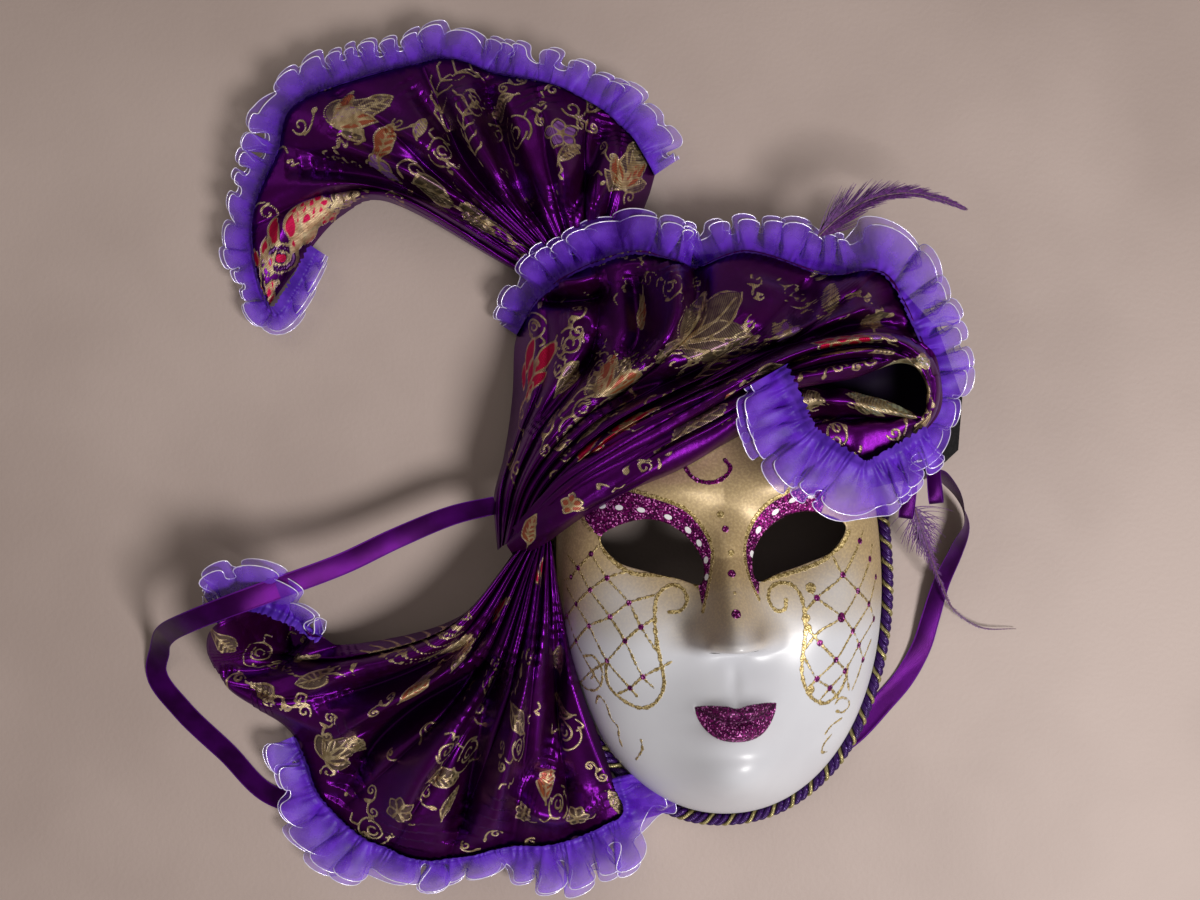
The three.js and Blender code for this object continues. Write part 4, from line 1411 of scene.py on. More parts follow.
# %% The horn
HORN = {
    "gather": [(1, 87, 16), (-41, 87, 16), (0, 4, 10)],  # its first and last point and its swell
    "rows": [
        [(17, 111, 19), (-5, 127, 41), (-37, 134, 42), (-72, 134, 42), (-98, 126, 40), (-107, 120, 20)],
        [
            (23, 124, 15), (5, 141, 31), (-20, 153, 36), (-48, 159, 37), (-80, 159, 37), (-115, 146, 36),
            (-130, 126, 30), (-127, 113, 16),
        ],
        [
            (27, 136, 12), (13, 154, 24), (-1, 164, 28), (-25, 175, 28), (-47, 179, 28), (-72, 187, 28),
            (-102, 181, 28), (-147, 164, 28), (-155, 141, 28), (-168, 107, 24), (-164, 68, 12),
        ],
    ],
    "folds": [0, 0.12, 0.22, 0.33, 0.44, 0.55, 0.66, 0.78, 0.9, 1],
    "depth": 8,
    "lean": 1.1,
    "split_until": 0.4,
    "drawn": [  # height, width, then the line in the photograph
        (-13, 10, (480, 76), (500, 130), (520, 180), (538, 228)),
        (7, 11, (448, 80), (468, 120), (494, 165), (518, 208)),
        (8, 14, (532, 84), (546, 130), (560, 175), (556, 215)),
        (-10, 8, (606, 112), (590, 165), (566, 220)),
        (-15, 10, (280, 168), (330, 166), (385, 178), (435, 196), (495, 232)),
        (7, 9, (340, 204), (392, 198), (442, 213), (500, 246)),
        (-6, 8, (316, 122), (360, 140), (420, 165), (480, 205)),
        (5, 10, (330, 95), (385, 125), (440, 160)),
        (-7, 8, (404, 76), (430, 110), (462, 152), (500, 205)),
        (6, 9, (622, 130), (612, 180), (590, 220)),
        (4, 10, (275, 270), (284, 230), (312, 200), (346, 190)),
    ],
}
HORN_MOTIFS = {
    "bits": [
        (330, 150, 9, 60), (450, 175, 8, 120), (505, 172, 8, 40), (530, 202, 7, 10), (558, 179, 7, 90),
    ],
    "copper_leaf": [(386, 143, 12, 60)],
    "copper_plume": [(352, 112, 17, 35), (628, 172, 17, 75)],
    "curl": [
        (270, 276, 7, 60), (303, 120, 9, 200), (402, 123, 7, 130), (410, 172, 10, -20), (495, 133, 9, -60),
        (551, 93, 7, 20), (600, 96, 7, 200),
    ],
    "feather": [(340, 205, 8, 30), (440, 92, 20, 60), (466, 125, 14, 80), (500, 232, 12, -45)],
    "flower": [(382, 169, 10, 0), (561, 133, 11, 15)],
    "gold_leaf": [(308, 233, 9, 50)],
    "leaf": [(432, 193, 13, -22), (478, 220, 14, -38), (640, 155, 12, 60)],
    "lilac_leaf": [(346, 113, 8, 20), (422, 128, 6, 70)],
    "lilac_plume": [(346, 199, 10, 20)],
    "medallion": [(280.5, 258, 8.6, 0)],
    "petals": [
        (262, 252, 9, 80), (266, 290, 8, 60), (284, 222, 15, 65), (302, 220, 13, 62), (314, 206, 11, 40),
    ],
    "red_flower": [(318, 205, 7, 0), (328, 218, 6, 0)],
    "scroll": [(512, 84, 8, 10), (541, 112, 8, 60), (586, 127, 8, -40), (606, 150, 8, 100)],
}
horn = pleated(HORN, rows=128, columns=320, seed=11)
cloth_piece(
    "horn_brocade", "horn_cloth", flat=(0.20, 0.15),
    grids=[horn], motifs=[HORN_MOTIFS], scattered=14,
)

# %% [markdown]
# The fan spreads from the same gather at the left temple. Its far end curls up and back, so the last
# row of lines starts on the curled end and runs round the lower hem.

# %% The fan
FAN = {
    "gather": [(-37, -43, 32), (-23, -43, 34), (0, 1, 6)],
    "rows": [
        [(-66, -79, 26), (-78, -90, 36), (-68, -103, 34), (-52, -110, 39), (-33, -111, 38), (-13, -98, 24)],
        [
            (-126, -95, 16), (-165, -105, 20), (-118, -135, 22), (-84, -158, 25), (-42, -163, 26),
            (3, -147, 14),
        ],
        [
            (-129, -88, 42), (-158, -74, 47), (-182, -86, 40), (-181, -112, 24), (-152, -138, 13),
            (-136, -175, 9), (-110, -195, 9), (-81, -203, 9), (-50, -197, 9), (-15, -193, 9), (13, -180, 8),
        ],
    ],
    "folds": [0, 0.14, 0.3, 0.42, 0.52, 0.62, 0.72, 0.82, 0.91, 1],
    "depth": 8,
    "lean": 0.9,
    "split_until": 0.42,
    "drawn": [
        (-10, 7, (500, 610), (466, 645), (420, 671), (370, 690), (310, 706)),
        (8, 9, (480, 650), (428, 686), (372, 712), (322, 745)),
        (-22, 12, (508, 645), (458, 688), (412, 716), (368, 754), (334, 808)),
        (10, 20, (476, 690), (442, 735), (416, 790), (400, 850)),
        (-19, 11, (514, 650), (484, 715), (468, 775), (455, 850)),
        (10, 12, (540, 620), (532, 670), (518, 720), (505, 770), (492, 835)),
        (-13, 8, (558, 600), (557, 660), (553, 720), (545, 785)),
        (8, 11, (572, 650), (588, 710), (606, 765), (624, 805)),
        (-9, 13, (520, 772), (548, 784), (578, 775)),
        (7, 12, (516, 806), (560, 815), (604, 800)),
        (11, 17, (222, 596), (228, 630), (232, 662)),
        (-34, 16, (262, 600), (272, 628), (302, 654)),
        (6, 6, (296, 606), (306, 628), (318, 644)),
        (-9, 6, (212, 670), (250, 674), (296, 664)),
        (8, 13, (250, 702), (310, 690), (360, 662)),
        (5, 9, (330, 648), (400, 632), (470, 612)),
    ],
}
FAN_MOTIFS = {
    "bits": [
        (300, 636, 8, 20), (345, 790, 7, 0), (440, 660, 8, 20), (470, 640, 7, 40), (508, 785, 7, 30),
        (515, 690, 7, 70), (533, 713, 7, 80),
    ],
    "copper_leaf": [(415, 692, 9, 40), (548, 782, 10, 80)],
    "curl": [
        (235, 680, 6, 0), (300, 712, 7, -40), (341, 668, 9, 160), (392, 754, 5, 90), (428, 732, 8, 40),
        (428, 796, 8, 80), (468, 846, 6, 120), (470, 690, 7, 40), (493, 836, 6, 0), (533, 845, 6, 60),
    ],
    "fret": [(408, 644, 20, 16)],
    "leaf": [(264, 694, 9, -30), (450, 803, 9, 60), (560, 660, 8, 80), (617, 803, 9, -60)],
    "lilac_leaf": [(428, 676, 7, 45)],
    "petals": [(500, 606, 9, 40), (540, 570, 8, 80)],
    "plume": [(338, 750, 16, 40)],
    "rose": [(468, 753, 11, 0), (563, 731, 10, 60)],
    "scroll": [
        (356, 838, 8, -10), (372, 801, 9, 70), (381, 706, 8, 30), (501, 756, 8, 80), (596, 772, 7, -70),
    ],
    "star": [(399, 811, 9.5, 0), (523, 814, 7, 20), (577, 818, 7, 50)],
}
fan = pleated(FAN, rows=176, columns=420, seed=23)
cloth_piece(
    "fan_brocade", "fan_cloth", flat=(0.22, 0.17),
    grids=[fan], motifs=[FAN_MOTIFS], scattered=22,
)

# %% [markdown]
# The turban starts from the tight gather at the left temple and spreads over the forehead. Its
# pleats are measured in the photograph: each row crosses them, with the height of every point.

# %% The turban
def seen_rows(rows):
    """Rows of places in the photograph, each with its height, as points of the layout."""
    rows = [np.array(row, float) for row in rows]
    return [seen_at(row[:, :2], row[:, 2]) for row in rows]


TURBAN_SEEN = [  # rows across the pleats: place in the photograph and height
    [
        (494, 498, 31), (503, 491, 38), (516, 485, 46), (523, 482, 50), (529, 481, 52), (535, 481, 54),
        (541, 483, 55), (547, 487, 56), (553, 493, 57), (560, 501, 57), (566, 510, 57), (572, 521, 54),
    ],
    [
        (504, 455, 22), (520, 440, 42), (542, 430, 54), (560, 425, 60), (574, 424, 64), (586, 424, 66),
        (596, 426, 67), (606, 432, 67), (615, 443, 70), (624, 457, 71), (632, 471, 70), (642, 487, 66),
    ],
    [
        (513, 395, 16), (545, 375, 44), (585, 372, 58), (612, 376, 66), (632, 380, 72), (650, 384, 75),
        (664, 388, 77), (680, 392, 77), (690, 403, 80), (698, 417, 81), (705, 432, 80), (716, 440, 75),
    ],
    [
        (515, 345, 14), (548, 325, 38), (598, 318, 52), (640, 318, 62), (682, 322, 68), (722, 332, 72),
        (752, 343, 75), (785, 345, 78), (800, 356, 82), (808, 368, 83), (808, 384, 80), (795, 398, 76),
    ],
    [
        (517, 334, 12), (543, 292, 34), (598, 260, 42), (640, 252, 44), (690, 266, 44), (745, 250, 46),
        (834, 274, 48), (882, 270, 52), (914, 318, 56), (932, 375, 60), (918, 433, 60), (880, 450, 60),
    ],
]
TURBAN = {
    "gather": [(-49, -48, 26), (-33, -46, 40), (0, 4, 6)],
    "rows": seen_rows(TURBAN_SEEN),
    "folds": [0, 0.09, 0.182, 0.40, 0.53, 0.636, 0.69, 0.75, 0.81, 0.87, 0.93, 1],
    "strengths": [0.7, 0.8, 1.1, 0.7, 0.8, 1.0, 0.8, 0.9, 0.8, 0.9, 1.1],
    # Across the pleats, depth and width, then where along them it begins and ends
    "creases": [(0.182, 5, 0.02, 0.35, 1.02), (0.636, 7, 0.016, 0.3, 0.95), (0.40, 2, 0.015, 0.5, 1.0)],
    # Across and along the pleats, rise, then its size across and along
    "bulges": [(0.30, 0.9, 6, 0.07, 0.22)],
    "depth": 6.5,
    "foot": 4,
    "v_end": 1.2,
    "lean": 1.0,
    "split_until": 0.6,
    "drawn": [  # height, width, then the line in the photograph
        (-14, 9, (585, 420), (640, 388), (690, 373), (740, 357), (795, 340)),
        (16, 14, (668, 252), (678, 300), (668, 336), (644, 364)),
        (-15, 12, (634, 262), (638, 300), (640, 335), (622, 366)),
        (8, 7, (552, 286), (580, 283), (606, 275)),
        (-13, 6, (536, 299), (575, 298), (612, 292)),
        (8, 10, (560, 316), (590, 318), (598, 340)),
        (-9, 7, (606, 342), (568, 384), (530, 436)),
        (5, 9, (596, 366), (560, 404), (530, 450)),
        (-10, 9, (694, 256), (697, 290), (686, 315)),
        (5, 22, (775, 275), (762, 308), (742, 330)),
        (-6, 12, (800, 275), (812, 300), (790, 325)),
        (5, 14, (850, 280), (862, 300), (850, 312)),
        (-8, 5, (740, 366), (790, 346), (840, 327), (890, 321), (925, 336)),
        (7, 7, (745, 350), (800, 330), (850, 315), (900, 308)),
        (6, 9, (560, 466), (620, 428), (680, 402), (724, 388)),
        (-9, 5, (560, 482), (620, 446), (680, 416), (730, 396)),
    ],
}
TURBAN_MOTIFS = {
    "bits": [
        (560, 300, 7, 20), (560, 410, 8, 50), (560, 470, 7, 45), (585, 490, 6, 40), (600, 350, 8, 60),
        (620, 290, 8, 90), (650, 415, 8, 36), (660, 395, 8, 40), (817, 364, 7, 10), (838, 318, 7, 20),
        (905, 305, 6, -50),
    ],
    "copper_flower": [(571, 503, 6, 0)],
    "copper_leaf": [(533, 530, 9, 75), (641, 313, 9, -80), (720, 398, 10, 40)],
    "copper_plume": [(618, 378, 19, 60)],
    "curl": [
        (516, 474, 7, 70), (522, 418, 8, 90), (562, 369, 7, 120), (641, 467, 7, -20), (648, 285, 10, 20),
        (666, 457, 7, 40), (700, 285, 8, 90), (747, 261, 7, 0), (754, 327, 7, 90), (822, 262, 7, 180),
        (883, 282, 7, 30),
    ],
    "feather": [(720, 360, 12, 30)],
    "flower": [(789, 334, 9, 10)],
    "leaf": [
        (571, 378, 10, 50), (595, 425, 9, 45), (640, 432, 9, 35), (668, 352, 12, 30), (700, 422, 15, 36),
    ],
    "petals": [
        (528, 372, 12, 70), (540, 352, 18, 40), (556, 492, 13, 45), (580, 466, 17, 40), (604, 440, 19, 38),
        (640, 414, 12, 30),
    ],
    "plume": [(712, 325, 31, 40), (876, 319, 12, 10)],
    "red_flower": [(596, 456, 8, 60), (628, 424, 12, 20)],
    "rose": [(796, 294, 9, 0)],
    "scroll": [
        (547, 436, 10, 70), (578, 318, 11, 60), (610, 258, 7, 0), (690, 366, 8, 30), (757, 284, 9, 60),
        (760, 372, 8, 25), (859, 296, 9, -30),
    ],
}
turban = pleated(TURBAN, rows=168, columns=350, seed=5)
print("the turban's cloth stands up to", round(float(turban[..., 2].max()), 1), "mm high")

# %% [markdown]
# The last pleats roll round a pocket above the right eye. The roll is a cloth of its own, lofted
# between four lines: its foot, its crest, the pocket's lip and a line deep inside. Ribs and a few
# drawn folds follow the lines, so it looks like stacked pleats. The turban's own cloth stops under
# the roll, at the pocket's mouth.

# %% The roll round the pocket
LIP_SEEN = [  # lines round the pocket: foot, crest, lip and a line inside
    [
        (512, 528, 42), (560, 478, 66), (610, 440, 71), (668, 402, 75), (728, 366, 79), (790, 342, 82),
        (850, 331, 82), (903, 333, 79), (934, 352, 74), (941, 385, 70), (938, 415, 68), (918, 442, 66),
    ],
    [
        (516, 532, 44), (565, 484, 68), (618, 450, 75), (680, 412, 81), (742, 378, 87), (800, 357, 92),
        (852, 348, 95), (898, 346, 94), (926, 361, 91), (935, 386, 86), (932, 411, 81), (913, 432, 76),
    ],
    [
        (520, 536, 44), (570, 490, 67), (626, 458, 74), (692, 424, 80), (752, 395, 86), (800, 384, 90),
        (852, 377, 92), (901, 359, 92), (920, 371, 90), (928, 391, 86), (925, 414, 80), (905, 428, 76),
    ],
    [
        (524, 540, 40), (575, 494, 64), (632, 464, 70), (700, 430, 75), (758, 402, 79), (802, 386, 76),
        (852, 374, 74), (900, 360, 72), (922, 374, 72), (930, 394, 70), (925, 416, 70), (898, 424, 71),
    ],
]
LIP_DRAWN = [  # height, width, then the line in the photograph
    (
        -8, 3.0, (640, 424), (700, 392), (745, 367), (795, 343), (845, 331), (895, 330), (928, 349),
        (938, 384),
    ),
    (
        3, 4.0, (650, 430), (712, 397), (760, 369), (805, 350), (852, 339), (893, 339), (920, 356),
        (931, 388),
    ),
    (
        -9, 3.2, (650, 446), (712, 411), (762, 380), (806, 357), (852, 346), (890, 346), (914, 360),
        (924, 386),
    ),
    (
        4, 3.2, (662, 450), (720, 414), (768, 386), (808, 362), (852, 352), (888, 352), (916, 366),
        (930, 396), (924, 420),
    ),
    (-8, 2.6, (700, 432), (740, 409), (780, 376), (812, 367), (852, 359), (884, 358), (902, 362)),
    (3, 5.0, (745, 402), (786, 381), (820, 374), (852, 367), (882, 362)),
]
LIP_MOTIFS = {
    "bits": [(700, 392, 7, 30), (740, 381, 7, 20), (930, 410, 6, -90)],
    "curl": [(810, 372, 7, 10), (835, 371, 7, 10)],
    "flower": [(876, 334, 8, 0)],
    "green_leaf": [(908, 361, 9, -40), (917, 376, 9, -60)],
    "leaf": [
        (775, 368, 9, 15), (802, 360, 8, 10), (830, 354, 8, 5), (858, 350, 8, 0), (886, 351, 8, -14),
        (920, 424, 6, 220), (925, 392, 7, -80),
    ],
    "red_flower": [(832, 341, 9, 0), (854, 338, 9, 30)],
    "scroll": [(866, 364, 7, 0)],
}
MOUTH = [
    (766, 392), (800, 376), (850, 362), (900, 352), (924, 364), (932, 392), (927, 420), (905, 436),
    (862, 444), (820, 438), (788, 412),
]
LIP_RIBS = 3
LIP_RIB_HEIGHT = 1.6


def lofted(rows, down, columns, rib=None, drawn=()):
    """A cloth drawn through lines that lie beside each other."""
    u, v = np.linspace(0, 1, columns), np.linspace(0, 1, down)
    points = curve(np.stack([curve(row, u) for row in rows]), v)
    if rib is not None:
        normal = unit(np.cross(np.gradient(points, axis=1), np.gradient(points, axis=0)))
        normal *= np.sign(normal[..., 2:].mean())
        points = points + normal * rib(u[None, :], v[:, None])[..., None]
    shape_folds(points, drawn)
    return points


def lip_rib(u, v):
    drift = 0.05 * np.sin(5 * u + 1) + 0.03 * np.sin(13 * u)
    ridge = np.abs(np.sin(math.pi * LIP_RIBS * (v * 0.94 + drift))) ** 0.6
    soft = 0.35 * np.sin(31 * u + 9 * v)
    return (LIP_RIB_HEIGHT * (ridge - 0.6) + soft) * smooth(u, 0.0, 0.12)


lip = lofted(seen_rows(LIP_SEEN), down=100, columns=260, rib=lip_rib, drawn=LIP_DRAWN)
print("the roll stands up to", round(float(lip[..., 2].max()), 1), "mm high")

# %% [markdown]
# In the pocket's mouth a twisted flap of the cloth shows, and below it a flap that runs down to the
# seam of the pocket's ruffle. Behind them lies a plain near-black sheet: painted shade for the pocket's
# depth.

# %% The flap and the painted shade inside the pocket
FLAP_SEEN = [  # the twisted flap inside the mouth, then the lower flap down to the ruffle's seam
    [(802, 388, 76), (826, 389, 77), (850, 390, 77), (888, 402, 78), (926, 416, 77)],
    [(803, 400, 84), (826, 400, 84), (852, 402, 84), (888, 411, 83), (926, 418, 79)],
    [(808, 413, 75), (828, 410, 74), (856, 414, 74), (890, 418, 76), (922, 420, 77)],
    [(812, 424, 68), (834, 420, 66), (862, 418, 66), (890, 419, 68), (918, 421, 74)],
    [(812, 428, 78), (838, 424, 79), (864, 424, 80), (892, 423, 80), (918, 422, 78)],
    [(816, 436, 79), (842, 442, 80), (866, 446, 80), (890, 438, 79), (920, 426, 76)],
    [(800, 430, 76), (838, 454, 76), (866, 468, 76), (896, 452, 74), (922, 434, 70)],
]
FLAP_MOTIFS = {
    "bits": [(822, 420, 6, 30), (852, 455, 5, 60)],
    "curl": [(836, 433, 6, 20), (838, 437, 7, 200), (897, 429, 7, 200)],
    "green_leaf": [(866, 399, 9, -12), (895, 411, 10, -20)],
    "green_plume": [(873, 405, 12, -15)],
    "star": [(806, 396, 7, 20), (811, 403, 7, 0)],
}
INSIDE_SEEN = [  # the near-black sheet deep in the pocket: painted shade
    [(770, 385, 76), (820, 374, 74), (860, 362, 73), (905, 352, 72), (938, 380, 70)],
    [(785, 398, 66), (822, 392, 62), (862, 385, 60), (905, 378, 60), (934, 398, 66)],
    [(795, 418, 70), (830, 425, 62), (862, 428, 60), (900, 425, 62), (930, 425, 70)],
]


def flap_wave(u, v):
    return 1.0 * np.sin(2.5 * v + 7 * u) * smooth(v, 0.4, 0.7) + 0.5 * np.sin(19 * u + 6 * v)


flap = lofted(seen_rows(FLAP_SEEN), down=44, columns=70, rib=flap_wave)
inside = lofted(seen_rows(INSIDE_SEEN), down=30, columns=60)
print("the pocket is lined down to", round(float(inside[..., 2].min()), 1), "mm")

# %% [markdown]
# A smooth band runs along the turban's lower edge. Its last line lies on the face itself, so the
# edge meets the brow without a gap.

# %% The band above the brow
BAND_SEEN = [
    [
        (506, 535, 36), (532, 516, 53), (562, 498, 64), (610, 468, 71), (660, 442, 76), (704, 418, 79),
        (748, 394, 82), (790, 382, 82),
    ],
    [
        (508, 544, 37), (536, 527, 54), (568, 510, 66), (616, 483, 73), (666, 457, 78), (711, 434, 81),
        (754, 408, 84), (796, 394, 82),
    ],
    [
        (511, 550, 36), (540, 535, 53), (574, 517, 65), (600, 502, 69), (626, 488, 72), (678, 466, 75),
        (718, 442, 77), (760, 418, 80), (800, 404, 79),
    ],
]
BAND_EDGE = [(577, 521), (602, 506), (628, 491.5), (680, 469.5), (721, 446), (765, 423), (804, 412)]
BAND_START = [(514, 558, 28), (543, 545, 44)]  # beside the face, before its edge lies on the brow
BAND_LIFT = 1.0
BAND_MOTIFS = {
    "bits": [(612, 488, 6, 20), (720, 420, 6, 30)],
    "copper_flower": [(571, 505, 6, 0)],
    "copper_leaf": [(530, 532, 9, 70)],
    "curl": [(641, 470, 7, -20), (668, 455, 7, 40)],
    "leaf": [(686, 432, 9, 36)],
}


def band_wave(u, v):
    wave = 0.8 * np.sin(9 * u + 2 * v) + 0.4 * np.sin(23 * u + 5 * v)
    return wave * smooth(v, 0.1, 0.4) * (1 - smooth(v, 0.7, 1))


on_brow = from_face(*np.moveaxis(on_face(BAND_EDGE), -1, 0)) + UP * BAND_LIFT
band_rows = [*seen_rows(BAND_SEEN), np.concatenate([*seen_rows([BAND_START]), on_brow])]
band = lofted(band_rows, down=36, columns=180, rib=band_wave)
cloth_piece(
    "turban_brocade", "turban_cloth", flat=(0.36, 0.20),
    grids=[turban, lip, flap, band, inside],
    motifs=[TURBAN_MOTIFS, LIP_MOTIFS, FLAP_MOTIFS, BAND_MOTIFS, {}],
    scattered=26, darkened=[4], mouth=np.array(MOUTH, float),
)

# %% [markdown]
# Every hem is dressed with a ruffle of blue-violet organza. It is a wide strip folded lengthwise,
# gathered along the fold and stitched down, so two sheer layers stand out from the seam. A fine
# wire in each edge holds it in loops. The cloth could be one even violet, but organza is most opaque
# and darkest where it is gathered, and paler and clearer towards its edge.

# %% Organza
def organza():
    f = Finish("organza")
    heading, reach = f.field("heading"), f.field("reach")
    cloud = f.noise(120.0, 3.0)
    fibre = f.noise(1500.0, 2.0)
    near = f.mix(cloud.step(0.3, 0.7), colour(0.070, 0.006, 0.38), colour(0.14, 0.020, 0.64))
    far = f.mix(cloud.step(0.3, 0.7), colour(0.15, 0.035, 0.56), colour(0.26, 0.085, 0.85))
    sheer = f.mix(reach.step(0.3, 0.95), near, far)
    stitched = f.mix(cloud.step(0.3, 0.7), colour(0.050, 0.010, 0.26), colour(0.11, 0.030, 0.44))
    return f.surface(
        Base__Color=f.mix(heading, sheer, stitched),
        Roughness=0.42,
        Alpha=0.70 - reach * 0.32 + heading * 0.36 + (cloud - 0.5) * 0.25,
        Normal=f.bump(fibre, 0.0002, 0.4),
        IOR=1.3,
    )


def edge_wire():
    f = Finish("edge_wire")
    glint = f.noise(300.0, 2.0)
    base = f.mix(glint.step(0.3, 0.7), colour(0.70, 0.62, 0.95), colour(0.96, 0.92, 1.0))
    return f.surface(Base__Color=base, Roughness=0.24, Metallic=0.25, Coat__Weight=0.4)


ORGANZA = organza()
EDGE_WIRE = edge_wire()
print("made", ORGANZA.name, "and", EDGE_WIRE.name)

# %% [markdown]
# The loops could be a simple wave, but real ones swing along the seam as well as up and down, so the
# edge folds back over itself. Both layers of the folded strip wave together, the upper one a little
# narrower and later. Near the seam the cloth is crinkled into fine gathers.

# %% Gathering a ruffle
STEP = 0.5  # between two columns of a ruffle
WIRE_RADIUS = 0.28
WIRE_SIDES = 5
FRILL = 3.6  # of the strip inside its stitches
FRILL_RISE = 1.9
SEAM_DEPTH = 0.9
RISE, LEAN_IN = 0.3, 0.25  # of a strip that stands up, as shares of its width
STITCHED = 0.14  # where the stitches run, as a share from the inner edge to the wire
RUFFLE_ROWS = 14
ABOVE_CLOTH = 0.9
RUFFLE_LOWEST = 0.6
# Each edge: how high it lies, its share of the width and how far it lags behind
TWO_EDGES = [(0.4, 1.0, 0.0), (2.8, 0.82, 0.9)]
# How far a loop swings along the seam, outwards and up, as shares of its length: where the strip
# lies flat it folds over itself like an S, and where it stands up its edge winds like a river
LYING = (0.50, 0.13, 0.38)
STANDING = (0.21, 0.52, 0.10)
LOOSENESS = 0.95  # mean swing of a loop
# Seeded wobbles, each by its pace and its reach: the first four have their pace in loops
PHASE_WOBBLE, SWING_WOBBLE, FOLD_WOBBLE, STAND_WOBBLE = (1.7, 3.0), (0.9, 0.65), (1.3, 1.0), (2.3, 0.55)
HEIGHT_WOBBLE, WIDTH_WOBBLE = (22, 1.6), (11, 0.12)
GATHER = {"length": 4.1, "shift": (4, 3.2), "size": 0.5, "wobble": (6, 0.35)}
CRINKLE = {"length": 4.1 / 1.3, "shift": (3, 4.0), "size": 0.6, "wobble": (5, 0.5)}


def slow_noise(rng, x, wobble, scale=1.0):
    """A smooth seeded wobble along a seam."""
    pace, reach = wobble[0] * scale, wobble[1]
    knots = rng.uniform(-1, 1, int(x.max() / pace) + 4)
    place = x / pace
    k = place.astype(int)
    return (knots[k] + (knots[k + 1] - knots[k]) * smooth(place - k, 0, 1)) * reach


def crumpled(rng, a, length, shift, size, wobble):
    """A wave along a seam whose phase and size wobble."""
    phase = 2 * math.pi * a / length + slow_noise(rng, a, shift)
    return np.sin(phase) * (size + slow_noise(rng, a, wobble))


def ruffle_layer(ruffle, rng, lift, share_of_width, behind):
    """The grid of one layer, from the seam to the wired edge."""
    run = steps_of(even_curve(ruffle["seam"], 400)).sum()
    count = int(run / STEP)
    line = even_curve(ruffle["seam"], count)
    a = np.linspace(0, run, count)
    share = a / run
    width = curve(np.array(ruffle["width"], float)[:, None] * (1, 0, 0), share)[:, 0] * share_of_width
    along = unit(axes_along(line)[0] * (1, 1, 0))
    out = np.stack([-along[:, 1], along[:, 0], 0 * a], 1) * ruffle.get("side", 1)
    inside = np.linspace(0, STITCHED, 4)
    v = np.concatenate([inside, np.linspace(STITCHED, 1, RUFFLE_ROWS - 3)[1:]])[:, None]
    opened = smooth(v, STITCHED, 1.0)
    frill = 1 - smooth(v, 0.0, STITCHED)
    ends = smooth(share, 0, 0.02) * (1 - smooth(share, 0.98, 1.0))

    loop = ruffle["loop"]
    pace = 2 * math.pi * a / loop + slow_noise(rng, a, PHASE_WOBBLE, loop) - behind
    swing = loop * (LOOSENESS + slow_noise(rng, a, SWING_WOBBLE, loop)) * opened * ends
    folded = slow_noise(rng, a, FOLD_WOBBLE, loop)
    upright = np.clip(ruffle["upright"] + slow_noise(rng, a, STAND_WOBBLE, loop), 0, 1)
    shares = [lie + (stand - lie) * upright for lie, stand in zip(LYING, STANDING)]
    wind = np.sin(pace) * (1 - upright) + np.sin(2 * pace) * upright
    sideways = swing * shares[0] * wind
    outwards = shares[1] * swing * np.cos(pace + folded * (1 - upright))
    height = shares[2] * swing * np.cos(pace + 0.5) + slow_noise(rng, a, HEIGHT_WOBBLE) * v * ends
    height = height + upright * width * RISE * opened
    extent = width * (v - STITCHED) / (1 - STITCHED) * (0.86 + slow_noise(rng, a, WIDTH_WOBBLE))
    extent = np.maximum(extent, 0) * (1 - LEAN_IN * upright) + outwards
    points = line + extent[..., None] * out + sideways[..., None] * along
    inwards = unit(even_curve(ruffle["inner"], count) - line) if "inner" in ruffle else -out

    crinkle = crumpled(rng, a, **CRINKLE)
    points = points + FRILL * inwards * (frill * (1 + 0.2 * crinkle))[..., None]
    points[..., 2] += height + lift * (0.35 + v) + ABOVE_CLOTH - ruffle["drop"] * v
    gathers = crumpled(rng, a, **GATHER)
    points[..., 2] += gathers * (1 - smooth(v, STITCHED, 0.75)) + frill * (FRILL_RISE + 0.6 * crinkle)
    points[..., 2] -= SEAM_DEPTH * bell((v - STITCHED) / 0.05)
    points[..., 2] = np.maximum(points[..., 2], RUFFLE_LOWEST)
    heading = np.broadcast_to(1 - smooth(v, STITCHED, STITCHED * 2), points.shape[:2])
    return points, {"heading": heading, "reach": np.broadcast_to(v, points.shape[:2])}


level = curve([(0, 0, 20), (50, 0, 20), (100, 0, 20)], np.linspace(0, 1, 5))
trial = {"seam": level, "width": [20, 20], "loop": 12, "upright": 0.5, "drop": 0}
points, _ = ruffle_layer(trial, np.random.default_rng(1), *TWO_EDGES[0])
print("100 mm of seam carry an edge of", round(float(steps_of(points[-1]).sum())), "mm")

# %% [markdown]
# A ruffle is two such layers and their two wires. The strip that it was gathered from is twice as
# wide as the ruffle, because it is folded, and has the ruffle's area.

# %% A ruffle as a piece
HEADING = 0.006  # of a strip's width, inside its stitches, in metres


def ruffle(name, seed, **form):
    layers = [
        ruffle_layer(form, np.random.default_rng(seed), lift, share_of_width, behind)
        for lift, share_of_width, behind in TWO_EDGES
    ]
    points = np.concatenate([p.reshape(-1, 3) for p, _ in layers])
    quads = [grid_faces(*p.shape[:2]) for p, _ in layers]
    faces = np.concatenate([quads[0], quads[1] + layers[0][0].size // 3])
    fields = {field: np.concatenate([f[field].ravel() for _, f in layers]) for field in layers[0][1]}
    piece = add_piece(name + "_organza", points, faces, [ORGANZA], fields)
    finish_piece(piece, "organza", name)
    wires = np.concatenate([tube(grid[-1], WIRE_RADIUS, WIRE_SIDES) for grid, _ in layers])
    quads = grid_faces(len(wires) // 2, WIRE_SIDES, wrap=True)
    quads = np.concatenate([quads, quads + wires.size // 6])
    wire = add_piece(name + "_edge", wires, quads, [EDGE_WIRE])
    finish_piece(wire, "organza")
    width = round(2 * float(np.mean(form["width"])) / 1000 + HEADING, 3)
    length = round(area_of(points, faces) / 1e6 / width, 3)
    print(name, "is gathered from a strip of", width, "by", length, "m")


print("a ruffle has", len(TWO_EDGES), "layers with a wire", 2 * WIRE_RADIUS, "mm thick in each edge")

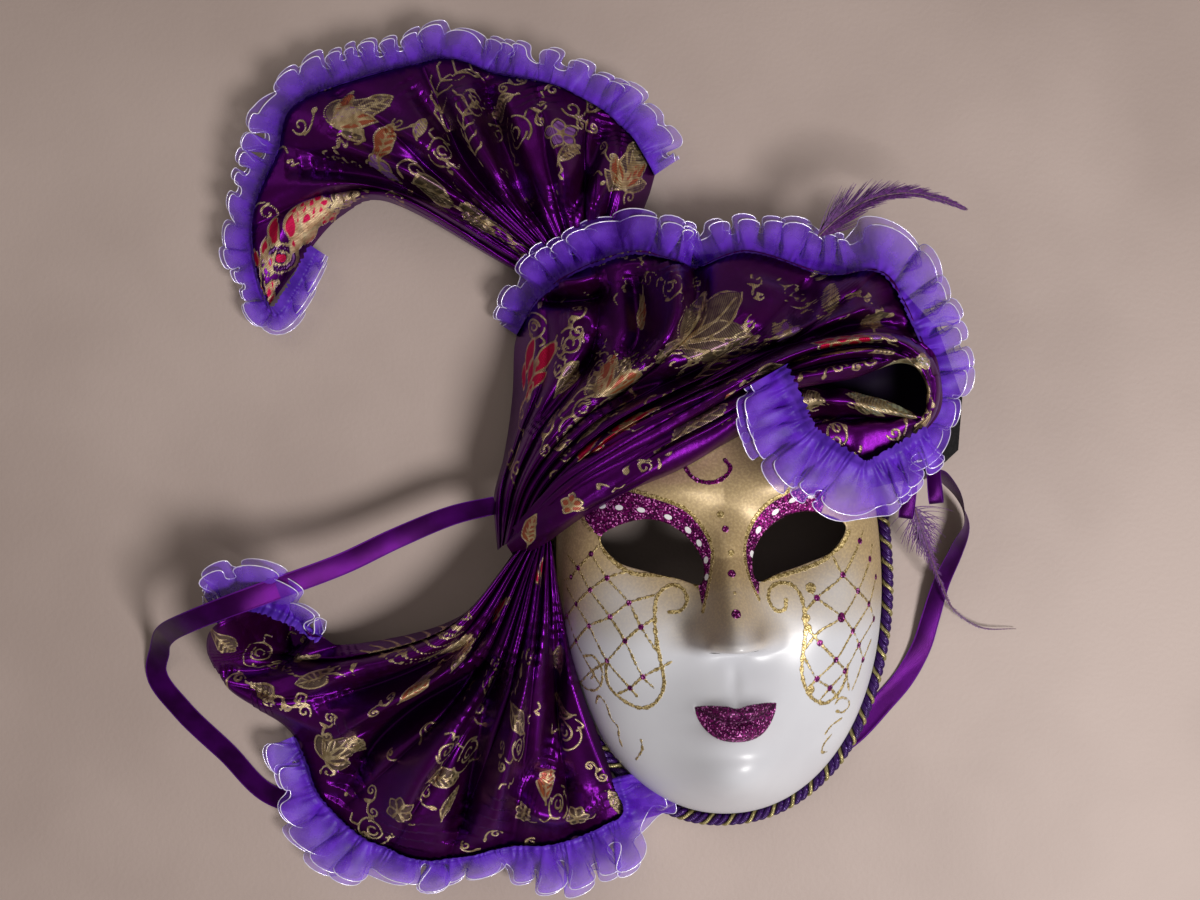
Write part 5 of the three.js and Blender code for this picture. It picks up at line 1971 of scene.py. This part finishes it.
# %% [markdown]
# Three seams follow the hems of their cloths, with a line inside each hem for the stitched frill. At
# the horn's tip and beside the chin the ruffle goes on past its hem. The other two seams are drawn:
# one round the pocket, one over the fan's curled end. Widths run evenly along each seam.

# %% The five ruffles
POCKET_SEAM = [
    (778.0, 369, 99), (785, 383, 96), (794, 402, 92), (807, 431, 87), (826, 446, 84), (846, 459, 82),
    (865, 469, 80), (887, 458, 79), (908, 446, 78), (928, 433, 77),
]


def hem_of(grid, begin, end, count, row=-1, extra=()):
    """Points along a row of a cloth, for a seam to follow, and any points after them."""
    columns = np.linspace(begin, end, count) * (grid.shape[1] - 1)
    return [*grid[row][columns.astype(int)], *(np.array(p, float) for p in extra)]


crown_row = int((len(turban) - 1) / TURBAN["v_end"])  # the last before the cloth turns under
ruffle(
    "crown_ruffle", 41, rests_on=["turban_brocade", "felt_backing"], drop=14, loop=10.5, upright=0.35,
    width=[16, 22, 22, 23, 26, 25, 15], seam=hem_of(turban, 0.0, 0.95, 26, row=crown_row),
    inner=hem_of(turban, 0.0, 0.95, 26, row=crown_row - 3),
)
ruffle(
    "pocket_ruffle", 42, rests_on=["turban_brocade", "face_shell"], drop=12, loop=9.5, upright=0.6,
    width=[22, 27, 29, 30, 29, 24, 16], seam=seen_rows([POCKET_SEAM])[0], side=-1,
)
ruffle(
    "horn_ruffle", 43, rests_on=["horn_brocade", "table"], drop=10, loop=10.5, upright=0.35,
    width=[18, 23, 22, 21, 21, 21, 21, 20, 17, 8, 4], side=-1,
    seam=hem_of(horn, 0.0, 0.985, 26, extra=[(-158, 66, 14), (-150, 75, 15), (-137, 97, 17)]),
    inner=hem_of(horn, 0.0, 0.985, 26, row=-5, extra=[(-160, 71, 15), (-153, 78, 17), (-140, 99, 18)]),
)
ruffle(
    "fan_ruffle", 44, rests_on=["fan_brocade", "table"], drop=4, loop=14, upright=0.3,
    width=[14, 21, 24, 11, 12, 25, 27, 18], side=-1,
    seam=hem_of(fan, 0.41, 1.0, 18, extra=[(9, -160, 12)]),
    inner=hem_of(fan, 0.41, 1.0, 18, row=-5, extra=[(6, -160, 13)]),
)
ruffle(
    "curl_ruffle", 45, rests_on=["fan_brocade"], drop=-2, loop=12, upright=0.5,
    width=[3, 8, 19, 28, 18], side=-1,
    seam=[(-130, -87, 37), (-145, -77, 40), (-162, -71, 43), (-179, -77, 40)],
)

# %% [markdown]
# A twisted cord is glued round the rim. It has three strands, two purple and a thinner gold one,
# that wind round each other once every 11 mm. Each strand is a tube along its own helix, and each
# has a finer twist of its own yarns in its finish.

# %% The rim cord
CORD_RADIUS = 3.5
CORD_GAP = 0.55  # to the rim
CORD_PITCH = 11.0
ABOVE_TABLE = 0.05
CORD_ENDS = (-200, 18)  # degrees round the face
STEPS_PER_TURN = 18
STRAND_SIDES = 8
STRANDS = [(2.35, 0.95, 1), (1.65, 1.6, 0), (1.65, 1.6, 0)]  # radius of the helix, of the strand, finish


def yarn(name, dark, light, metallic):
    f = Finish(name)
    twist = f.waves(420.0, 3.0)
    cloud = f.noise(500.0, 2.0)
    base = f.mix(twist * 0.6 + cloud * 0.4, dark, light)
    return f.surface(Base__Color=base, Roughness=0.36, Metallic=metallic, Normal=f.bump(twist, 0.0003, 0.7))


PURPLE_YARN = yarn("purple_yarn", colour(0.012, 0.001, 0.035), colour(0.060, 0.008, 0.17), 0.35)
GOLD_YARN = yarn("gold_yarn", colour(0.20, 0.16, 0.05), colour(0.60, 0.52, 0.24), 0.6)


def rim_cord():
    angle = np.radians(np.linspace(*CORD_ENDS, 300))
    centre = from_face(*rim_point(angle, CORD_RADIUS + CORD_GAP), 0.0)
    centre[:, 2] = CORD_RADIUS + rim_lift(angle)
    run = steps_of(centre).sum()
    turns = run / CORD_PITCH
    line = even_curve(centre, int(turns * STEPS_PER_TURN))
    _, left, over = axes_along(line)
    points, faces, material = [], [], []
    for strand, (radius, thickness, finish) in enumerate(STRANDS):
        turn = -2 * math.pi * (np.linspace(0, turns, len(line)) + strand / len(STRANDS))
        helix = line + radius * (left * np.cos(turn)[:, None] + over * np.sin(turn)[:, None])
        points.append(tube(helix, thickness, STRAND_SIDES))
        faces.append(grid_faces(len(line), STRAND_SIDES, wrap=True) + strand * len(line) * STRAND_SIDES)
        material.append(np.full(len(faces[-1]), finish))
    points, faces, material = map(np.concatenate, (points, faces, material))
    points[..., 2] = np.maximum(points[..., 2], ABOVE_TABLE)
    piece = add_piece("rim_cord_strands", points, faces, [PURPLE_YARN, GOLD_YARN], None, material)
    finish_piece(piece, "twisted_cord", "rim_cord")
    print("the cord has", round(float(turns), 1), "turns along", round(float(run)), "mm")


rim_cord()

# %% [markdown]
# A plate of black felt is glued behind the turban, and shows only at the right temple. Its packed
# shape is right, so the solid stays and gets a felt finish: matt, nearly black, with loose fibres.

# %% Felt
def felt():
    f = Finish("felt")
    fibres = f.noise(700.0, 6.0, rough=0.7)
    cloud = f.noise(60.0, 3.0)
    base = f.mix(fibres.step(0.35, 0.75), colour(0.002, 0.0015, 0.002), colour(0.011, 0.009, 0.011))
    matted = f.bump(fibres + cloud * 0.5, 0.0008, 0.8)
    return f.surface(Base__Color=base, Roughness=0.95, Sheen__Weight=0.05, Normal=matted)


bpy.data.objects["felt_backing"].material_slots[0].material = felt()
print("the felt keeps its packed shape")

# %% [markdown]
# Two small loops of the same satin ribbon are sewn on at the right temple, where the tie starts.
# Each is a closed strip that hangs down from its stitches, with its satin side up.

# %% Ribbon loops
RIBBON_LOOPS = [((145, -6, 46), -98, 26), ((154, -4, 44), -84, 21)]  # stitches, heading and length
LOOP_BELLY = 3.2  # half the height of a loop
LOOP_WIDTH = 6.5
LOOP_CUP = 0.5
LOOP_SWAY = 1.5
LOOP_STEPS = 65


def ribbon_loop(number, at, heading, length):
    angle = np.linspace(0, 2 * math.pi, LOOP_STEPS)
    away = np.array([math.cos(math.radians(heading)), math.sin(math.radians(heading)), 0])
    side = np.cross(away, UP)
    reach = length / 2 * (1 - np.cos(angle))
    belly = LOOP_BELLY * np.sin(angle) * (0.5 + 0.5 * reach / length)
    line = np.array(at) + away * reach[:, None] + UP * belly[:, None]
    line = line + side * (LOOP_SWAY * np.sin(angle / 2) ** 2 * np.sin(angle))[:, None]
    w = np.linspace(-1, 1, 6)
    points = line[:, None] + side * (w[:, None] * LOOP_WIDTH / 2) - UP * (LOOP_CUP * w[:, None] ** 2)
    across = np.broadcast_to(np.abs(w), points.shape[:2])
    faces = grid_faces(*points.shape[:2])
    piece = add_piece(f"satin_loop_{number}", points, faces, [SATIN], {"across": across})
    finish_piece(piece, "satin_ribbon", f"ribbon_loop_{number}")


for number, (at, heading, length) in enumerate(RIBBON_LOOPS, 1):
    ribbon_loop(number, at, heading, length)

# %% [markdown]
# Two thin dark feathers are tucked in: one behind the crown ruffle, one at the right temple. A
# feather is a tapering quill with soft barbs that sweep forward along it. The barbs are cut as
# narrow blades, long and loose near the quill's foot and short near its tip.

# %% Feathers
TOP_FEATHER = [
    (101, 99, 45), (111, 108, 48), (124, 115, 50), (140, 118, 50), (155, 116, 48), (170, 111, 46),
]
SIDE_FEATHER = [
    (148, -27, 36), (156, -45, 26), (166, -64, 14), (175, -79, 6), (189, -88, 4), (207, -89, 2),
]
BARB_WIDTH = 0.64
BARB_POINTS = 6
BARB_LOWEST = 0.4
BARB_LENGTHS = (0.75, 1.15)  # of single barbs, against the given length
BARB_RISES = (-0.10, 0.16)  # as shares of the length
BARB_CURL = 0.35
SWEEP = (26, 14)  # degrees from the quill, at its foot and its end
QUILL_RADII = (0.55, 0.16)
QUILL_POINTS = 60


def feather_finish(name, dark, light):
    f = Finish(name)
    streak = f.noise(900.0, 3.0)
    base = f.mix(streak.step(0.3, 0.7), dark, light)
    return f.surface(Base__Color=base, Roughness=0.5, Sheen__Weight=0.1, Normal=f.bump(streak, 0.0002, 0.5))


BARB = feather_finish("barb", colour(0.045, 0.003, 0.075), colour(0.12, 0.014, 0.18))
QUILL = feather_finish("quill", colour(0.055, 0.020, 0.045), colour(0.16, 0.075, 0.11))


def barb(rng, at, along, side, share, length, fluff):
    """A narrow blade that sweeps forward from the quill; fluff spreads the barbs near its foot."""
    across = np.cross(UP, along) * side
    sweep = SWEEP[0] + (SWEEP[1] - SWEEP[0]) * share + rng.uniform(-1, 1) * fluff * (1 - share)
    sweep = np.radians(sweep)
    heading = along * math.cos(sweep) + across * math.sin(sweep)
    w = np.linspace(0, 1, BARB_POINTS)[:, None]
    curl = along * (w**2) * length * BARB_CURL + UP * (w * length * rng.uniform(*BARB_RISES))
    spine = at + heading * (w * length) + curl
    half = np.cross(UP, heading) * (BARB_WIDTH / 2 * (1 - 0.8 * w))
    return np.stack([spine - half, spine + half], 1).reshape(-1, 3)


def feather_piece(name, points, seed, barbs, foot, tip, thinning, fluff):
    """A feather whose barbs are foot plus tip millimetres long near its foot and tip near its end."""
    rng = np.random.default_rng(seed)
    quill = even_curve(points, QUILL_POINTS)
    along = axes_along(quill)[0]
    body = tube(quill, np.linspace(*QUILL_RADII, QUILL_POINTS), 6).reshape(-1, 3)
    blades = []
    for share in (np.arange(barbs) + 0.5) / barbs:
        at = int(share * (QUILL_POINTS - 2))
        for side in (-1, 1):
            length = (foot * (1 - share) ** thinning + tip) * rng.uniform(*BARB_LENGTHS)
            length *= 1 - 0.75 * share**7
            blades.append(barb(rng, quill[at], along[at], side, share, length, fluff))
    starts = len(body) + 2 * BARB_POINTS * np.arange(len(blades))[:, None, None]
    blade_faces = (grid_faces(BARB_POINTS, 2) + starts).reshape(-1, 4)
    quill_faces = grid_faces(QUILL_POINTS, 6, wrap=True)
    material = np.concatenate([np.ones(len(quill_faces)), np.zeros(len(blade_faces))])
    points = np.concatenate([body, *blades])
    points[:, 2] = np.maximum(points[:, 2], BARB_LOWEST)
    faces = np.concatenate([quill_faces, blade_faces])
    finish_piece(add_piece(name + "_barbs", points, faces, [BARB, QUILL], None, material), "feather", name)


feather_piece("top_feather", TOP_FEATHER, 7, barbs=230, foot=10, tip=6, thinning=2.2, fluff=12)
feather_piece("side_feather", SIDE_FEATHER, 8, barbs=300, foot=17, tip=1.6, thinning=5, fluff=70)

# %% [markdown]
# The mask lies on a pale, slightly mottled surface. Soft window light comes from the lower right of
# the view and rakes across the cloth, so its folds and the nose throw soft shadows to the upper
# left. A weak second light and a dim sky keep those shadows open.

# %% The table and the light
FLOOR_REACH = 3000.0
FLOOR_GAP = 0.02  # below the lowest solid
LIGHTS = {  # direction, distance and size in metres, power and tint
    "key_light": [(0.60, -0.48, 1.05), 1.5, 0.5, 20.5, (1.0, 0.985, 0.965)],
    "fill_light": [(-0.7, 0.75, 1.1), 2.0, 1.0, 3.0, (1.0, 0.93, 0.85)],
}
SKY = (1.0, 0.91, 0.83)
SKY_STRENGTH = 0.19


def table_finish():
    f = Finish("table")
    cloud = f.noise(5.0, 4.0)
    grain = f.noise(420.0, 4.0)
    base = f.mix(cloud.step(0.3, 0.7), colour(0.37, 0.29, 0.262), colour(0.46, 0.368, 0.335))
    return f.surface(Base__Color=base, Roughness=0.62, Normal=f.bump(grain, 0.0004, 0.35))


def area_light(name, toward, distance, size, power, tint):
    data = bpy.data.lights.new(name, "AREA")
    data.shape = "DISK"
    data.size = size
    data.energy = power
    data.color = tint
    lamp = bpy.data.objects.new(name, data)
    lamp.location = unit(np.array(toward)) * distance
    lamp.rotation_euler = (lamp.location * -1).to_track_quat("-Z", "Y").to_euler()
    bpy.context.scene.collection.objects.link(lamp)


corners = np.array([(-1, -1, 0), (1, -1, 0), (1, 1, 0), (-1, 1, 0)]) * FLOOR_REACH
corners[:, 2] = -SHIFT[2] - FLOOR_GAP
add_piece("table", corners, [(0, 1, 2, 3)], [table_finish()])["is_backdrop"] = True
for name, light in LIGHTS.items():
    area_light(name, *light)
world = bpy.data.worlds.new("sky")
world.use_nodes = True
world.node_tree.nodes["Background"].inputs["Color"].default_value = (*SKY, 1.0)
world.node_tree.nodes["Background"].inputs["Strength"].default_value = SKY_STRENGTH
bpy.context.scene.world = world
bpy.context.scene.view_settings.view_transform = "Standard"
print("lit by", len(bpy.data.lights), "lights")

# %% [markdown]
# The dressed mask must stay as large as the solids say, so both boxes are printed.

# %% The size of both boxes
sizes = {
    "cad_box": [list(map(float, c)) for c in CAD_BOX],
    "visual_box": [list(map(float, c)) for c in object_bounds()],
}
for name in ("cad_box", "visual_box"):
    print(name, [round(b - a, 4) for a, b in zip(*sizes[name])])
